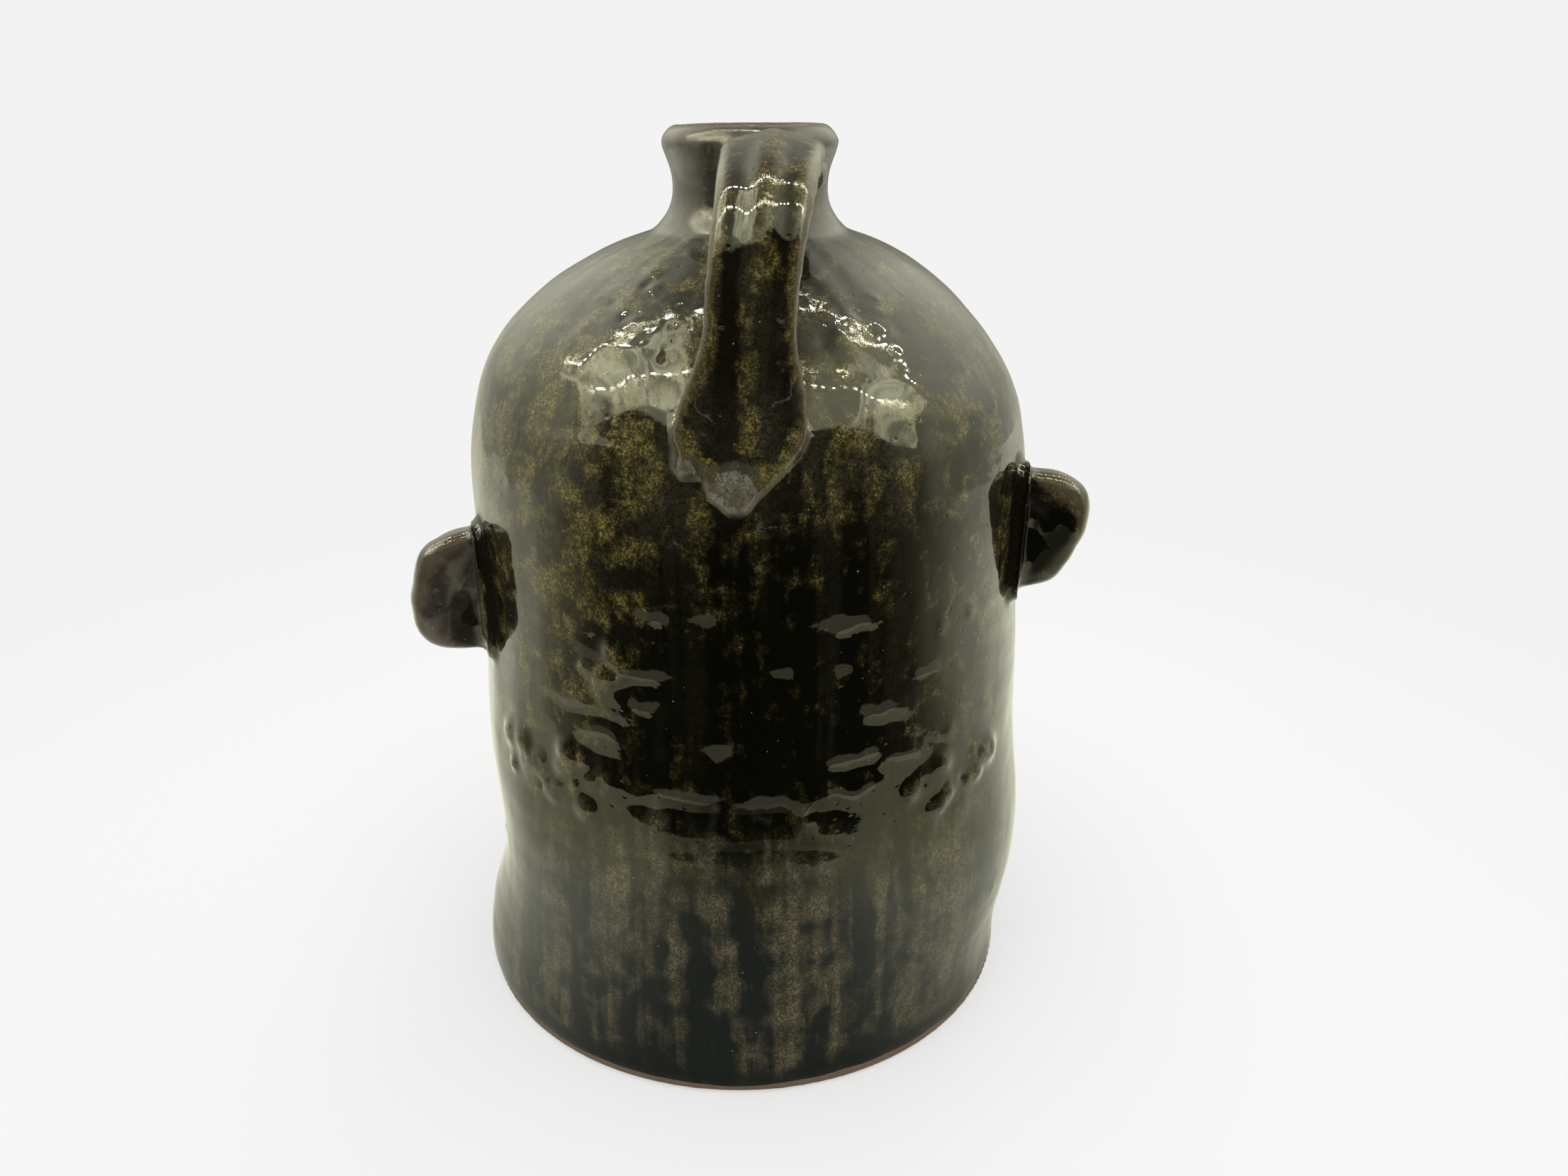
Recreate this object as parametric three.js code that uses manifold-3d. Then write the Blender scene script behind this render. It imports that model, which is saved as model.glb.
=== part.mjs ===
import * as THREE from 'three';
import { LoftGeometry } from 'three/addons/geometries/LoftGeometry.js';
import { mergeVertices } from 'three/addons/utils/BufferGeometryUtils.js';
import Module from 'manifold-3d';

const wasm = await Module();
wasm.setup();
const { lerp, smoothstep, euclideanModulo } = THREE.MathUtils;

// Stoneware face jug, in millimetres and degrees.
// The foot stands on Z = 0, the face looks along -Y and the handle is at the back.
// Azimuth 0 is the middle of the face; it grows towards +X, the left side of the face.

// Every applied piece keeps this joint to the clay under it.
const lutingGap = 0.3;

// Thrown body: foot, belly, waist, and a domed shoulder that springs from the wall.
const footRadius = 87.4;
const footBevel = 1.4;
const bellyRadius = 87.6;
const bellyHeight = 36;
const waistRadius = 82.6;
const waistHeight = 132;
const springRadius = 83.4;
const springHeight = 160;
const shoulderRise = 79;
const shoulderFullness = 2.4;
const wallThickness = 7;
const floorThickness = 9;
const floorFillet = 14;
const lean = -0.0115;
const wallSegments = 50;
const wallSteps = 21;
const domeSteps = 13;
const insideSteps = 6;

// Neck collar, thrown apart and set on the shoulder.
const boreRadius = 16;
const neckBaseRadius = 27.2;
const neckWaistRadius = 21.8;
const neckWaistRise = 11.6;
const lipRadius = 25;
const lipRise = 24.5;
const crownRadius = 20;
const crownRise = 4;
const neckSweep = 6;
const lipRound = 1;
const mouthFlare = 2.2;
const mouthFlareDepth = 8;
const mouthRound = 1.6;
const neckSegments = 36;

// Pulled strap handle, from the neck to the shoulder.
const strapWidth = 27.2;
const strapNarrow = 22.8;
const strapThickness = 9.5;
const strapFlute = 1.5;
const strapRootRise = 14.8;
const strapApexRise = 23.5;
const strapApexReach = 45;
const strapReach = 76.5;
const strapRootShift = -7.8;
const strapTailShift = 1.5;
const landingDrop = 36.2;
const landingWidth = 34;
const landingStand = 3.4;
const tailDrop = 57.2;
const tailWidth = 5;
const tailStand = 1.4;
const strapSink = 6;
const strapRings = 30;

// Slab ears, set on edge at the sides.
const earThickness = 9.6;
const earEdge = 2.6;
const earRoot = 7;
const conchaDepth = 3;
const conchaShare = 0.33;
const leftEar = {
  name: 'left_ear',
  azimuth: 114,
  height: 138,
  outline: [[0, 19], [9, 18.8], [16.5, 15.5], [20.4, 6],
    [21.6, -4], [19.5, -12.5], [13, -17.5], [0, -19.5]],
};
const rightEar = {
  name: 'right_ear',
  azimuth: -110,
  height: 154,
  outline: [[0, 19.5], [10, 19], [17, 15.8], [19.6, 10],
    [18.6, 1], [15.8, -8], [11, -14.8], [0, -19.5]],
};

// Eyes: a white ball, two lids round it and a brow over it.
const eyeHeight = 149;
const eyeSpread = 29;
const eyeHalfWidth = 15;
const eyeHalfHeight = 11.5;
const eyeRise = 9;
const lidHalfWidth = 4.5;
const lidRise = 9.6;
const lidCover = 1;
const lidMeeting = 8;
const lidJoint = 2;
const browHalfWidth = 4.6;
const browRise = 7.5;
const browLift = 3.2;
const browArch = 12;
const browInner = 9.5;
const browOuter = 47;

// Nose: bridge, tip and wings, with two nostrils under it.
const noseTopLift = 14;
const noseLength = 44;
const bridgeHalfWidth = 6;
const bridgeRise = 5;
const noseHalfWidth = 14;
const noseRise = 21;
const nostrilRadius = 3;
const nostrilSpread = 6;
const nostrilStand = 7.5;
const nostrilStretch = 1.5;
const wingShare = 0.34;

// Mouth: two lips round an open lens, and two rows of teeth.
const mouthDrop = 28;
const mouthHalfWidth = 33;
const mouthOpenUp = 10;
const mouthOpenDown = 9;
const mouthFullness = 2.4;
const lipHalfWidth = 4.8;
const lipStand = 9.5;
const lipEnd = 0.42;
const teethPerRow = 6;
const toothWidth = 9;
const toothGap = 0.6;
const toothStand = 5.4;
const toothCorner = 1.6;

// Heights that follow from the sizes above.
const degree = Math.PI / 180;
const noseTop = eyeHeight + noseTopLift;
const noseBase = noseTop - noseLength;
const mouthHeight = noseBase - mouthDrop;
const eyeAzimuth = eyeSpread / waistRadius / degree;
const mouthAzimuth = mouthHalfWidth / waistRadius / degree;
const seatShare = 1 - (neckBaseRadius / springRadius) ** 2;
const seatHeight = springHeight + shoulderRise * seatShare ** (1 / shoulderFullness);

// Where the wet wall was pressed in or pushed out of round: depth, place and spread.
const presses = [
  { push: -8, azimuth: 80, height: 50, around: 30, along: 17 },
  { push: 2, azimuth: 100, height: 8, around: 40, along: 13 },
  { push: 2.8, azimuth: -102, height: 56, around: 35, along: 22 },
  { push: -2.4, azimuth: -98, height: 14, around: 32, along: 13 },
  { push: 1.5, azimuth: -102, height: 110, around: 35, along: 15 },
  { push: 2.2, azimuth: 100, height: 207, around: 40, along: 11 },
  { push: -2, azimuth: -105, height: 214, around: 40, along: 11 },
  { push: 5, azimuth: 0, height: mouthHeight - 38, around: 22, along: 16 },
  { push: -4, azimuth: 0, height: mouthHeight, around: 0.8 * mouthAzimuth, along: 14 },
  { push: -3.5, azimuth: eyeAzimuth, height: eyeHeight, around: 12, along: 15 },
  { push: -3.5, azimuth: -eyeAzimuth, height: eyeHeight, around: 12, along: 15 },
  { push: 2, azimuth: 40, height: noseBase - 6, around: 14, along: 18 },
  { push: 2, azimuth: -40, height: noseBase - 6, around: 14, along: 18 },
];

const glazeOlive = { color: 0x423f2f, roughness: 0.12, metalness: 0 };
const glazeThin = { color: 0x514d43, roughness: 0.16, metalness: 0 };
const whiteClay = { color: 0xcfc7b0, roughness: 0.35, metalness: 0 };

// Turn a mesh into a solid for cutting, and back again.
function toSolid(geometry) {
  const bare = geometry.clone();
  bare.deleteAttribute('normal');
  bare.deleteAttribute('uv');
  const welded = mergeVertices(bare, 1e-4);
  const vertProperties = new Float32Array(welded.attributes.position.array);
  const triVerts = new Uint32Array(welded.index.array);
  return new wasm.Manifold(new wasm.Mesh({ numProp: 3, vertProperties, triVerts }));
}

function toGeometry(solid) {
  const mesh = solid.getMesh();
  const geometry = new THREE.BufferGeometry();
  const points = new Float32Array(mesh.vertProperties);
  geometry.setAttribute('position', new THREE.BufferAttribute(points, 3));
  geometry.setIndex(Array.from(mesh.triVerts));
  geometry.computeVertexNormals();
  return geometry;
}

// Skin a row of sections, each turned to run counterclockwise about the way ahead.
function skin(sections) {
  const centre = (section) => section.reduce((sum, point) => sum.add(point), new THREE.Vector3())
    .divideScalar(section.length);
  const middle = Math.floor((sections.length - 1) / 2);
  const ring = sections[middle];
  const ahead = centre(sections[middle + 1]).sub(centre(ring));
  const turn = new THREE.Vector3();
  ring.forEach((point, i) => turn.add(point.clone().cross(ring[(i + 1) % ring.length])));
  if (turn.dot(ahead) < 0) {
    sections.forEach((section) => section.reverse());
  }
  const loft = new LoftGeometry(sections, { capStart: true, capEnd: true });
  return new THREE.BufferGeometry().copy(loft);
}

function piece(name, geometry, look) {
  const mesh = new THREE.Mesh(geometry, new THREE.MeshStandardMaterial(look));
  mesh.name = name;
  return mesh;
}

function group(name, ...children) {
  const made = new THREE.Group();
  made.name = name;
  for (const child of children) {
    made.add(child);
  }
  return made;
}

// Cut other solids, given in the frame of the whole jug, out of a mesh that is in its place.
function cutAway(mesh, ...cutters) {
  mesh.updateWorldMatrix(true, false);
  const toLocal = mesh.matrixWorld.clone().invert();
  let solid = toSolid(mesh.geometry);
  for (const cutter of cutters) {
    solid = solid.subtract(toSolid(cutter.clone().applyMatrix4(toLocal)));
  }
  mesh.geometry = toGeometry(solid);
}

// The thrown wall: its radius at a height, and how far it was pressed out of round.
function wallRadius(z) {
  const belly = lerp(footRadius, bellyRadius, smoothstep(z, 0, bellyHeight));
  const waist = lerp(belly, waistRadius, smoothstep(z, bellyHeight, waistHeight));
  const spring = lerp(waist, springRadius, smoothstep(z, waistHeight, springHeight));
  const rise = Math.min(0.99, Math.max(0, z - springHeight) / shoulderRise);
  return spring * Math.sqrt(1 - rise ** shoulderFullness);
}

function pressed(azimuth, z) {
  let total = 0;
  for (const press of presses) {
    const turn = euclideanModulo(azimuth - press.azimuth + 180, 360) - 180;
    const around = turn / press.around;
    const along = (z - press.height) / press.along;
    total += press.push * Math.exp(-0.5 * (around * around + along * along));
  }
  return total;
}

function onWall(azimuth, z, stand) {
  const radius = wallRadius(z) + pressed(azimuth, z) + stand;
  const x = radius * Math.sin(azimuth * degree) + lean * z;
  return new THREE.Vector3(x, -radius * Math.cos(azimuth * degree), z);
}

// Clay laid on the face: distance along the wall from its middle, height, and stand-off.
function onFace(along, z, stand) {
  return onWall(along / waistRadius / degree, z, stand + lutingGap);
}

function domePoints(radius, rise, endRadius, steps) {
  const points = [];
  const endAngle = Math.acos(endRadius / radius);
  for (let i = 1; i <= steps; i++) {
    const angle = endAngle * i / steps;
    const height = springHeight + rise * Math.sin(angle) ** (2 / shoulderFullness);
    points.push(new THREE.Vector2(radius * Math.cos(angle), height));
  }
  return points;
}

function wallPoints(from, steps, inset) {
  const points = [];
  for (let i = 0; i <= steps; i++) {
    const z = lerp(from, springHeight, i / steps);
    points.push(new THREE.Vector2(wallRadius(z) - inset, z));
  }
  return points;
}

// Revolve a profile, then press it out of round and lean it with the wall.
function thrownWall(profile) {
  const geometry = new THREE.LatheGeometry(profile, wallSegments);
  geometry.rotateX(Math.PI / 2);
  const position = geometry.attributes.position;
  for (let i = 0; i < position.count; i++) {
    const [x, y, z] = [position.getX(i), position.getY(i), position.getZ(i)];
    const azimuth = Math.atan2(x, -y) / degree;
    const push = 1 + pressed(azimuth, z) / wallRadius(z);
    position.setXYZ(i, x * push + lean * z, y * push, z);
  }
  return geometry;
}

function outerProfile(grow) {
  return [
    new THREE.Vector2(0, -grow),
    new THREE.Vector2(footRadius - footBevel + grow, -grow),
    ...wallPoints(footBevel, wallSteps, -grow),
    ...domePoints(springRadius + grow, shoulderRise + grow, neckBaseRadius, domeSteps),
  ];
}

function jugBody() {
  const floorFrom = floorThickness + floorFillet;
  const floorEdge = wallRadius(floorFrom) - wallThickness - floorFillet;
  const fillet = [];
  for (let angle = 30; angle < 90; angle += 30) {
    const x = floorEdge + floorFillet * Math.cos(angle * degree);
    fillet.push(new THREE.Vector2(x, floorFrom - floorFillet * Math.sin(angle * degree)));
  }
  const inside = [
    ...wallPoints(floorFrom, insideSteps, wallThickness),
    ...domePoints(springRadius - wallThickness, shoulderRise - wallThickness, boreRadius, insideSteps),
  ];
  const profile = [
    ...outerProfile(0),
    new THREE.Vector2(boreRadius, seatHeight),
    ...inside.reverse(),
    ...fillet,
    new THREE.Vector2(floorEdge, floorThickness),
    new THREE.Vector2(0, floorThickness),
  ];
  return thrownWall(profile);
}

function solidWall(grow) {
  const profile = outerProfile(grow);
  profile.push(new THREE.Vector2(0, profile[profile.length - 1].y));
  return thrownWall(profile);
}

// The outside of the collar, from its seat over the lip to the mouth.
function collarOutline(grow) {
  const outline = new THREE.Path();
  const [base, waist] = [neckBaseRadius + grow, neckWaistRadius + grow];
  const [rim, crown] = [lipRadius + grow, crownRadius + grow];
  const top = lipRise + crownRise + grow;
  const underLip = lipRise - lipRound;
  const overLip = lipRise + lipRound;
  outline.moveTo(base, -grow);
  outline.bezierCurveTo(base, neckSweep / 2, waist, neckWaistRise - neckSweep, waist, neckWaistRise);
  const overWaist = neckWaistRise + neckSweep;
  outline.bezierCurveTo(waist, overWaist, rim - lipRound, underLip - crownRise, rim, underLip);
  outline.quadraticCurveTo(rim, lipRise, rim - lipRound, overLip);
  outline.quadraticCurveTo(crown + 2 * lipRound, top, crown, top);
  return outline.getPoints(4);
}

function neckCollar() {
  const crown = lipRise + crownRise;
  const mouth = new THREE.Path();
  mouth.moveTo(crownRadius, crown);
  mouth.quadraticCurveTo(boreRadius + mouthFlare, crown, boreRadius + mouthFlare, crown - mouthRound);
  mouth.quadraticCurveTo(boreRadius, crown - mouthFlareDepth, boreRadius, crown - 1.6 * mouthFlareDepth);
  const profile = [
    new THREE.Vector2(boreRadius, 0),
    ...collarOutline(0),
    ...mouth.getPoints(4).slice(1),
    new THREE.Vector2(boreRadius, 0),
  ];
  const geometry = new THREE.LatheGeometry(profile, neckSegments);
  return geometry.rotateX(Math.PI / 2);
}

function solidCollar(grow) {
  const outline = collarOutline(grow);
  const profile = [
    new THREE.Vector2(0, outline[0].y),
    ...outline,
    new THREE.Vector2(0, outline[outline.length - 1].y),
  ];
  return new THREE.LatheGeometry(profile, neckSegments).rotateX(Math.PI / 2);
}

// Strap section: rounded edges, a flat inside, and two flutes on the outside.
function strapSection(halfWidth, halfThickness, flute) {
  const section = [];
  const stations = 10;
  for (let i = 0; i <= stations; i++) {
    const across = -Math.cos(Math.PI * i / stations);
    const swell = Math.sqrt(1 - across ** 4);
    const groove = flute * Math.sin(Math.PI * across) ** 2;
    section.push(new THREE.Vector2(across * halfWidth, halfThickness * swell - groove));
  }
  for (let i = stations - 1; i > 0; i -= 2) {
    const across = -Math.cos(Math.PI * i / stations);
    section.push(new THREE.Vector2(across * halfWidth, -halfThickness * Math.sqrt(1 - across ** 4)));
  }
  return section;
}

function strapHandle() {
  const landing = seatHeight - landingDrop;
  const tail = seatHeight - tailDrop;
  const landingReach = wallRadius(landing) + landingStand;
  const knot = (share, reach, height) => {
    const shift = lerp(strapRootShift, strapTailShift, share);
    return new THREE.Vector3(lean * seatHeight + shift, reach, height);
  };
  const spine = new THREE.CatmullRomCurve3([
    knot(0, neckWaistRadius - strapSink, seatHeight + strapRootRise - 1),
    knot(0, neckWaistRadius + strapSink + 1, seatHeight + lerp(strapRootRise, strapApexRise, 0.7)),
    knot(0.1, strapApexReach, seatHeight + strapApexRise),
    knot(0.3, lerp(strapApexReach, strapReach, 0.78), seatHeight + 0.58 * strapApexRise),
    knot(0.53, strapReach, seatHeight - 2),
    knot(0.75, lerp(strapReach, landingReach, 0.5), seatHeight - 0.7 * landingDrop),
    knot(0.9, landingReach, landing),
    knot(1, wallRadius(tail) + tailStand, tail),
  ]);
  const landingShare = 0.86;
  const sections = [];
  for (let i = 0; i <= strapRings; i++) {
    const t = i / strapRings;
    const middle = spine.getPointAt(t);
    const along = spine.getTangentAt(t);
    const outward = new THREE.Vector3(1, 0, 0).cross(along).normalize();
    const flare = smoothstep(t, 0.66, landingShare);
    const tuck = smoothstep(t, landingShare, 1);
    const strap = lerp(strapWidth, strapNarrow, smoothstep(t, 0.2, 0.6));
    const width = lerp(lerp(strap, landingWidth, flare), tailWidth, tuck);
    const thickness = lerp(lerp(strapThickness, 2 * landingStand, flare), 2 * tailStand, tuck);
    const flute = strapFlute * (1 - tuck) * smoothstep(t, 0.05, 0.2);
    const section = strapSection(width / 2, thickness / 2, flute);
    sections.push(section.map((point) => new THREE.Vector3(point.x, 0, 0)
      .add(middle).addScaledVector(outward, point.y)));
  }
  return skin(sections);
}

// Ear slab: drawn in its own radial plane, with a thumbed hollow on the face side.
function earSlab(ear) {
  const edge = ear.outline.map(([out, up]) => new THREE.Vector2(out, up));
  const [top, low] = [edge[0], edge[edge.length - 1]];
  const outline = new THREE.Shape();
  outline.moveTo(-earRoot, top.y);
  outline.lineTo(top.x, top.y);
  outline.splineThru(edge.slice(1));
  outline.lineTo(-earRoot, low.y);
  outline.closePath();
  const geometry = new THREE.ExtrudeGeometry(outline, {
    depth: earThickness - 2 * earEdge,
    bevelThickness: earEdge,
    bevelSize: earEdge,
    bevelOffset: -earEdge,
    bevelSegments: 3,
    curveSegments: 2,
  });
  geometry.translate(0, 0, earEdge - earThickness / 2);
  const hollow = new THREE.SphereGeometry(1, 16, 10);
  const reach = Math.max(...edge.map((point) => point.x));
  hollow.scale(conchaShare * reach, conchaShare * (top.y - low.y), conchaDepth);
  hollow.translate(reach / 2, 0, Math.sign(ear.azimuth) * earThickness / 2);
  return toGeometry(toSolid(geometry).subtract(toSolid(hollow)));
}

// A coil of clay laid along a line on the face and rounded over.
function clayCoil({ line, halfWidth, rise, squareness = 2, rings = 13 }) {
  const front = [];
  const stations = 8;
  for (let i = 0; i <= stations; i++) {
    front.push(-Math.cos(Math.PI * i / stations));
  }
  const sections = [];
  for (let i = 0; i <= rings; i++) {
    const t = i / rings;
    const middle = line(t);
    const ahead = line(t + 0.001).sub(line(t - 0.001)).normalize();
    const place = (across, stand) => onFace(
      middle.x - ahead.y * across * halfWidth(t),
      middle.y + ahead.x * across * halfWidth(t),
      stand,
    );
    const swell = (v) => Math.sqrt(Math.max(0, 1 - Math.abs(v) ** squareness));
    const over = front.map((v) => place(v, rise(t) * swell(v)));
    const under = [0.5, 0, -0.5].map((v) => place(v, 0));
    sections.push([...over, ...under]);
  }
  return skin(sections);
}

// Full in the middle, down to a share of it at both ends.
function taper(endShare, fullness = 0.5) {
  return (t) => lerp(endShare, 1, Math.sin(Math.PI * Math.min(1, Math.max(0, t))) ** fullness);
}

// An eyeball: an oval dome with its back bedded on the wall.
function eyeBall(side, grow) {
  const steps = [[0.12, -3 * grow], [0.6, -3 * grow], [1, -3 * grow]];
  for (let angle = 12; angle < 90; angle += 12) {
    steps.push([Math.cos(angle * degree), (eyeRise + grow) * Math.sin(angle * degree)]);
  }
  const sections = steps.map(([size, stand]) => {
    const section = [];
    for (let turn = 0; turn < 360; turn += 18) {
      const along = side * eyeSpread + size * (eyeHalfWidth + grow) * Math.cos(turn * degree);
      const up = eyeHeight + size * (eyeHalfHeight + grow) * Math.sin(turn * degree);
      section.push(onFace(along, up, stand));
    }
    return section;
  });
  return skin(sections);
}

// One lid: a coil that follows the edge of the eyeball from corner to corner.
function eyeLid(side, from, to) {
  const line = (t) => {
    const turn = lerp(from, to, t) * degree;
    return new THREE.Vector2(
      side * (eyeSpread + (eyeHalfWidth - lidCover) * Math.cos(turn)),
      eyeHeight + (eyeHalfHeight - lidCover) * Math.sin(turn),
    );
  };
  const full = taper(0.62);
  return clayCoil({
    line,
    halfWidth: (t) => lidHalfWidth * full(t),
    rise: (t) => lidRise * full(t),
    squareness: 3,
  });
}

function eyeBrow(side) {
  const level = eyeHeight + eyeHalfHeight - lidCover + lidHalfWidth + browLift;
  const arch = new THREE.QuadraticBezierCurve(
    new THREE.Vector2(side * browInner, level),
    new THREE.Vector2(side * lerp(browInner, browOuter, 0.45), level + browArch),
    new THREE.Vector2(side * browOuter, level - 1),
  );
  const full = taper(0.5);
  return clayCoil({
    line: (t) => arch.getPoint(t),
    halfWidth: (t) => browHalfWidth * full(t),
    rise: (t) => browRise * full(t),
    rings: 12,
  });
}

// The nose: level sections from the bridge down to the wings.
function noseShape() {
  const level = (share) => lerp(noseTop, noseBase, share);
  const width = (share) => lerp(bridgeHalfWidth, noseHalfWidth, share);
  const edge = new THREE.CatmullRomCurve3([
    new THREE.Vector3(bridgeHalfWidth, bridgeRise, noseTop),
    new THREE.Vector3(width(0.06), lerp(bridgeRise, noseRise, 0.3), level(0.3)),
    new THREE.Vector3(width(0.6), 0.8 * noseRise, level(0.68)),
    new THREE.Vector3(noseHalfWidth, noseRise, level(0.87)),
    new THREE.Vector3(0.9 * noseHalfWidth, 0.66 * noseRise, noseBase),
  ]);
  const rings = 14;
  const stations = 12;
  const sections = [];
  for (let i = 0; i <= rings; i++) {
    const t = i / rings;
    const at = edge.getPoint(t);
    const wing = smoothstep(t, 0.55, 0.85);
    const section = [];
    for (let k = 0; k <= stations; k++) {
      const across = -Math.cos(Math.PI * k / stations);
      const ridge = (1 - Math.abs(across) ** 1.7) ** lerp(0.7, 1.1, wing);
      const lobe = wingShare * wing * Math.sqrt(1 - across ** 6);
      section.push(onFace(across * at.x, at.z, at.y * Math.max(ridge, lobe)));
    }
    for (const across of [0.5, 0, -0.5]) {
      section.push(onFace(across * at.x, at.z, 0));
    }
    sections.push(section);
  }
  return skin(sections);
}

function nostril(side) {
  const hole = new THREE.SphereGeometry(1, 12, 8);
  hole.scale(nostrilRadius, nostrilStretch * nostrilRadius, nostrilStretch * nostrilRadius);
  const place = onFace(side * nostrilSpread, noseBase, nostrilStand);
  return hole.translate(place.x, place.y, place.z);
}

// The open mouth: height of its edge above or below the bite line.
function mouthEdge(along, open) {
  return open * (1 - Math.min(1, Math.abs(along) / mouthHalfWidth) ** mouthFullness);
}

function lip(sign, open) {
  const full = taper(lipEnd);
  const line = (t) => {
    const along = lerp(-mouthHalfWidth, mouthHalfWidth, t);
    const half = lipHalfWidth * full(t);
    return new THREE.Vector2(along, mouthHeight + sign * (mouthEdge(along, open) + half + lutingGap));
  };
  return clayCoil({
    line,
    halfWidth: (t) => lipHalfWidth * full(t),
    rise: (t) => lipStand * full(t),
    rings: 18,
  });
}

// One tooth: a block with cut corners, rooted under the lip and rounded at the front.
function tooth(index, sign, open) {
  const left = (index - teethPerRow / 2) * toothWidth + toothGap / 2;
  const right = left + toothWidth - toothGap;
  const bite = mouthHeight + sign * toothGap / 2;
  const root = (along) => mouthHeight + sign * (mouthEdge(along, open) - 2 * toothGap);
  const corners = [
    new THREE.Vector2(left, bite),
    new THREE.Vector2(right, bite),
    new THREE.Vector2(right, root(right)),
    new THREE.Vector2(left, root(left)),
  ];
  const outline = [];
  for (let i = 0; i < 4; i++) {
    const before = corners[(i + 3) % 4].clone().sub(corners[i]);
    const after = corners[(i + 1) % 4].clone().sub(corners[i]);
    const cutBefore = Math.min(toothCorner, 0.4 * before.length());
    const cutAfter = Math.min(toothCorner, 0.4 * after.length());
    outline.push(corners[i].clone().add(before.setLength(cutBefore)));
    outline.push(corners[i].clone().add(after.setLength(cutAfter)));
  }
  const centre = corners.reduce((sum, corner) => sum.addScaledVector(corner, 0.25), new THREE.Vector2());
  const steps = [[1, 0], [1, 0.7], [0.88, 0.93], [0.5, 1]];
  const sections = steps.map(([size, share]) => outline.map((point) => {
    const at = centre.clone().lerp(point, size);
    return onFace(at.x, at.y, share * toothStand);
  }));
  return skin(sections);
}

// Put the pieces together.
const jug = new THREE.Group();
jug.name = 'face_jug';
jug.add(piece('jug_body', jugBody(), glazeOlive));

const neck = group('neck', piece('neck_collar', neckCollar(), glazeThin));
neck.position.set(lean * seatHeight, 0, seatHeight + lutingGap);
jug.add(neck);

const wallCutter = solidWall(lutingGap);
const collarCutter = solidCollar(lutingGap).translate(neck.position.x, neck.position.y, neck.position.z);
const strap = piece('strap_handle', strapHandle(), glazeOlive);
jug.add(strap);
cutAway(strap, wallCutter, collarCutter);

for (const ear of [leftEar, rightEar]) {
  const slab = piece(ear.name, earSlab(ear), glazeOlive);
  slab.rotation.x = Math.PI / 2;
  slab.position.x = wallRadius(ear.height);
  const turned = group(ear.name + '_place', slab);
  turned.rotation.z = (ear.azimuth - 90) * degree;
  turned.position.set(lean * ear.height, 0, ear.height);
  jug.add(turned);
  cutAway(slab, wallCutter);
}

const [lowerFrom, lowerTo] = [180 + lidMeeting + lidJoint, 360 - lidMeeting - lidJoint];
for (const side of [1, -1]) {
  const sideName = side > 0 ? 'left' : 'right';
  const ball = piece(sideName + '_eyeball', eyeBall(side, 0), whiteClay);
  const upper = piece(sideName + '_upper_lid', eyeLid(side, -lidMeeting, 180 + lidMeeting), glazeOlive);
  const lower = piece(sideName + '_lower_lid', eyeLid(side, lowerFrom, lowerTo), glazeOlive);
  const brow = piece(sideName + '_brow', eyeBrow(side), glazeOlive);
  jug.add(group(sideName + '_eye', ball, upper, lower, brow));
  const ballCutter = eyeBall(side, lutingGap);
  cutAway(upper, ballCutter);
  cutAway(lower, ballCutter);
}

const nose = piece('nose', noseShape(), glazeOlive);
jug.add(nose);
cutAway(nose, nostril(1), nostril(-1));

const mouth = group('mouth');
mouth.add(piece('upper_lip', lip(1, mouthOpenUp), glazeOlive));
mouth.add(piece('lower_lip', lip(-1, mouthOpenDown), glazeOlive));
for (let i = 0; i < teethPerRow; i++) {
  mouth.add(piece('upper_tooth_' + (i + 1), tooth(i, 1, mouthOpenUp), whiteClay));
  mouth.add(piece('lower_tooth_' + (i + 1), tooth(i, -1, mouthOpenDown), whiteClay));
}
jug.add(mouth);

export default jug;
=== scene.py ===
# %% [markdown]
# # A stoneware face jug
# This lesson dresses the imported model of a face jug: a thrown body with a strap handle, two slab
# ears and a face of applied clay, under a dark, runny ash glaze. The imported model is loaded
# first, as a fixed frame.

# %% Load the imported model
import itertools
import math

import bpy
import numpy as np
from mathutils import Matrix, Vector, kdtree


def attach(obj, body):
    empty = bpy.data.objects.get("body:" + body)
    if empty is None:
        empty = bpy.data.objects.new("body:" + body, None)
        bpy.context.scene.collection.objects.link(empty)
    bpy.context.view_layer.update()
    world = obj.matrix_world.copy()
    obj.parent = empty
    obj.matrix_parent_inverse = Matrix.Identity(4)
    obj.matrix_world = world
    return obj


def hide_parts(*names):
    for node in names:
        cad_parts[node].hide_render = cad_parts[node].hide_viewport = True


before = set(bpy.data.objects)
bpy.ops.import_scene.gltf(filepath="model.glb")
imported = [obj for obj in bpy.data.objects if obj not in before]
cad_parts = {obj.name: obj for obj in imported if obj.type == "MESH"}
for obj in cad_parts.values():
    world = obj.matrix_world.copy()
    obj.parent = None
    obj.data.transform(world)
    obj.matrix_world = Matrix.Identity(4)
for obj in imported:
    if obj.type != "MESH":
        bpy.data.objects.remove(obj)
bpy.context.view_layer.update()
scene = bpy.context.scene
scene.view_settings.view_transform = "Standard"

# %% [markdown]
# ## Camera
# The photograph looks down on the back of the jug from close by, so the wall narrows towards the
# foot. A long lens would keep its lines parallel, so a 28 mm lens stands only 0.36 m away.

# %% Camera
camera = bpy.data.objects.new("camera", bpy.data.cameras.new("camera"))
camera.location = (-0.0124, 0.362, 0.2722)
camera.rotation_euler = (math.radians(90 - 22.22), 0, math.radians(180))
camera.data.lens = 28
camera.data.sensor_width = 36
camera.data.clip_start = 0.01
scene.collection.objects.link(camera)
scene.camera = camera
print("camera at", tuple(camera.location))

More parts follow.
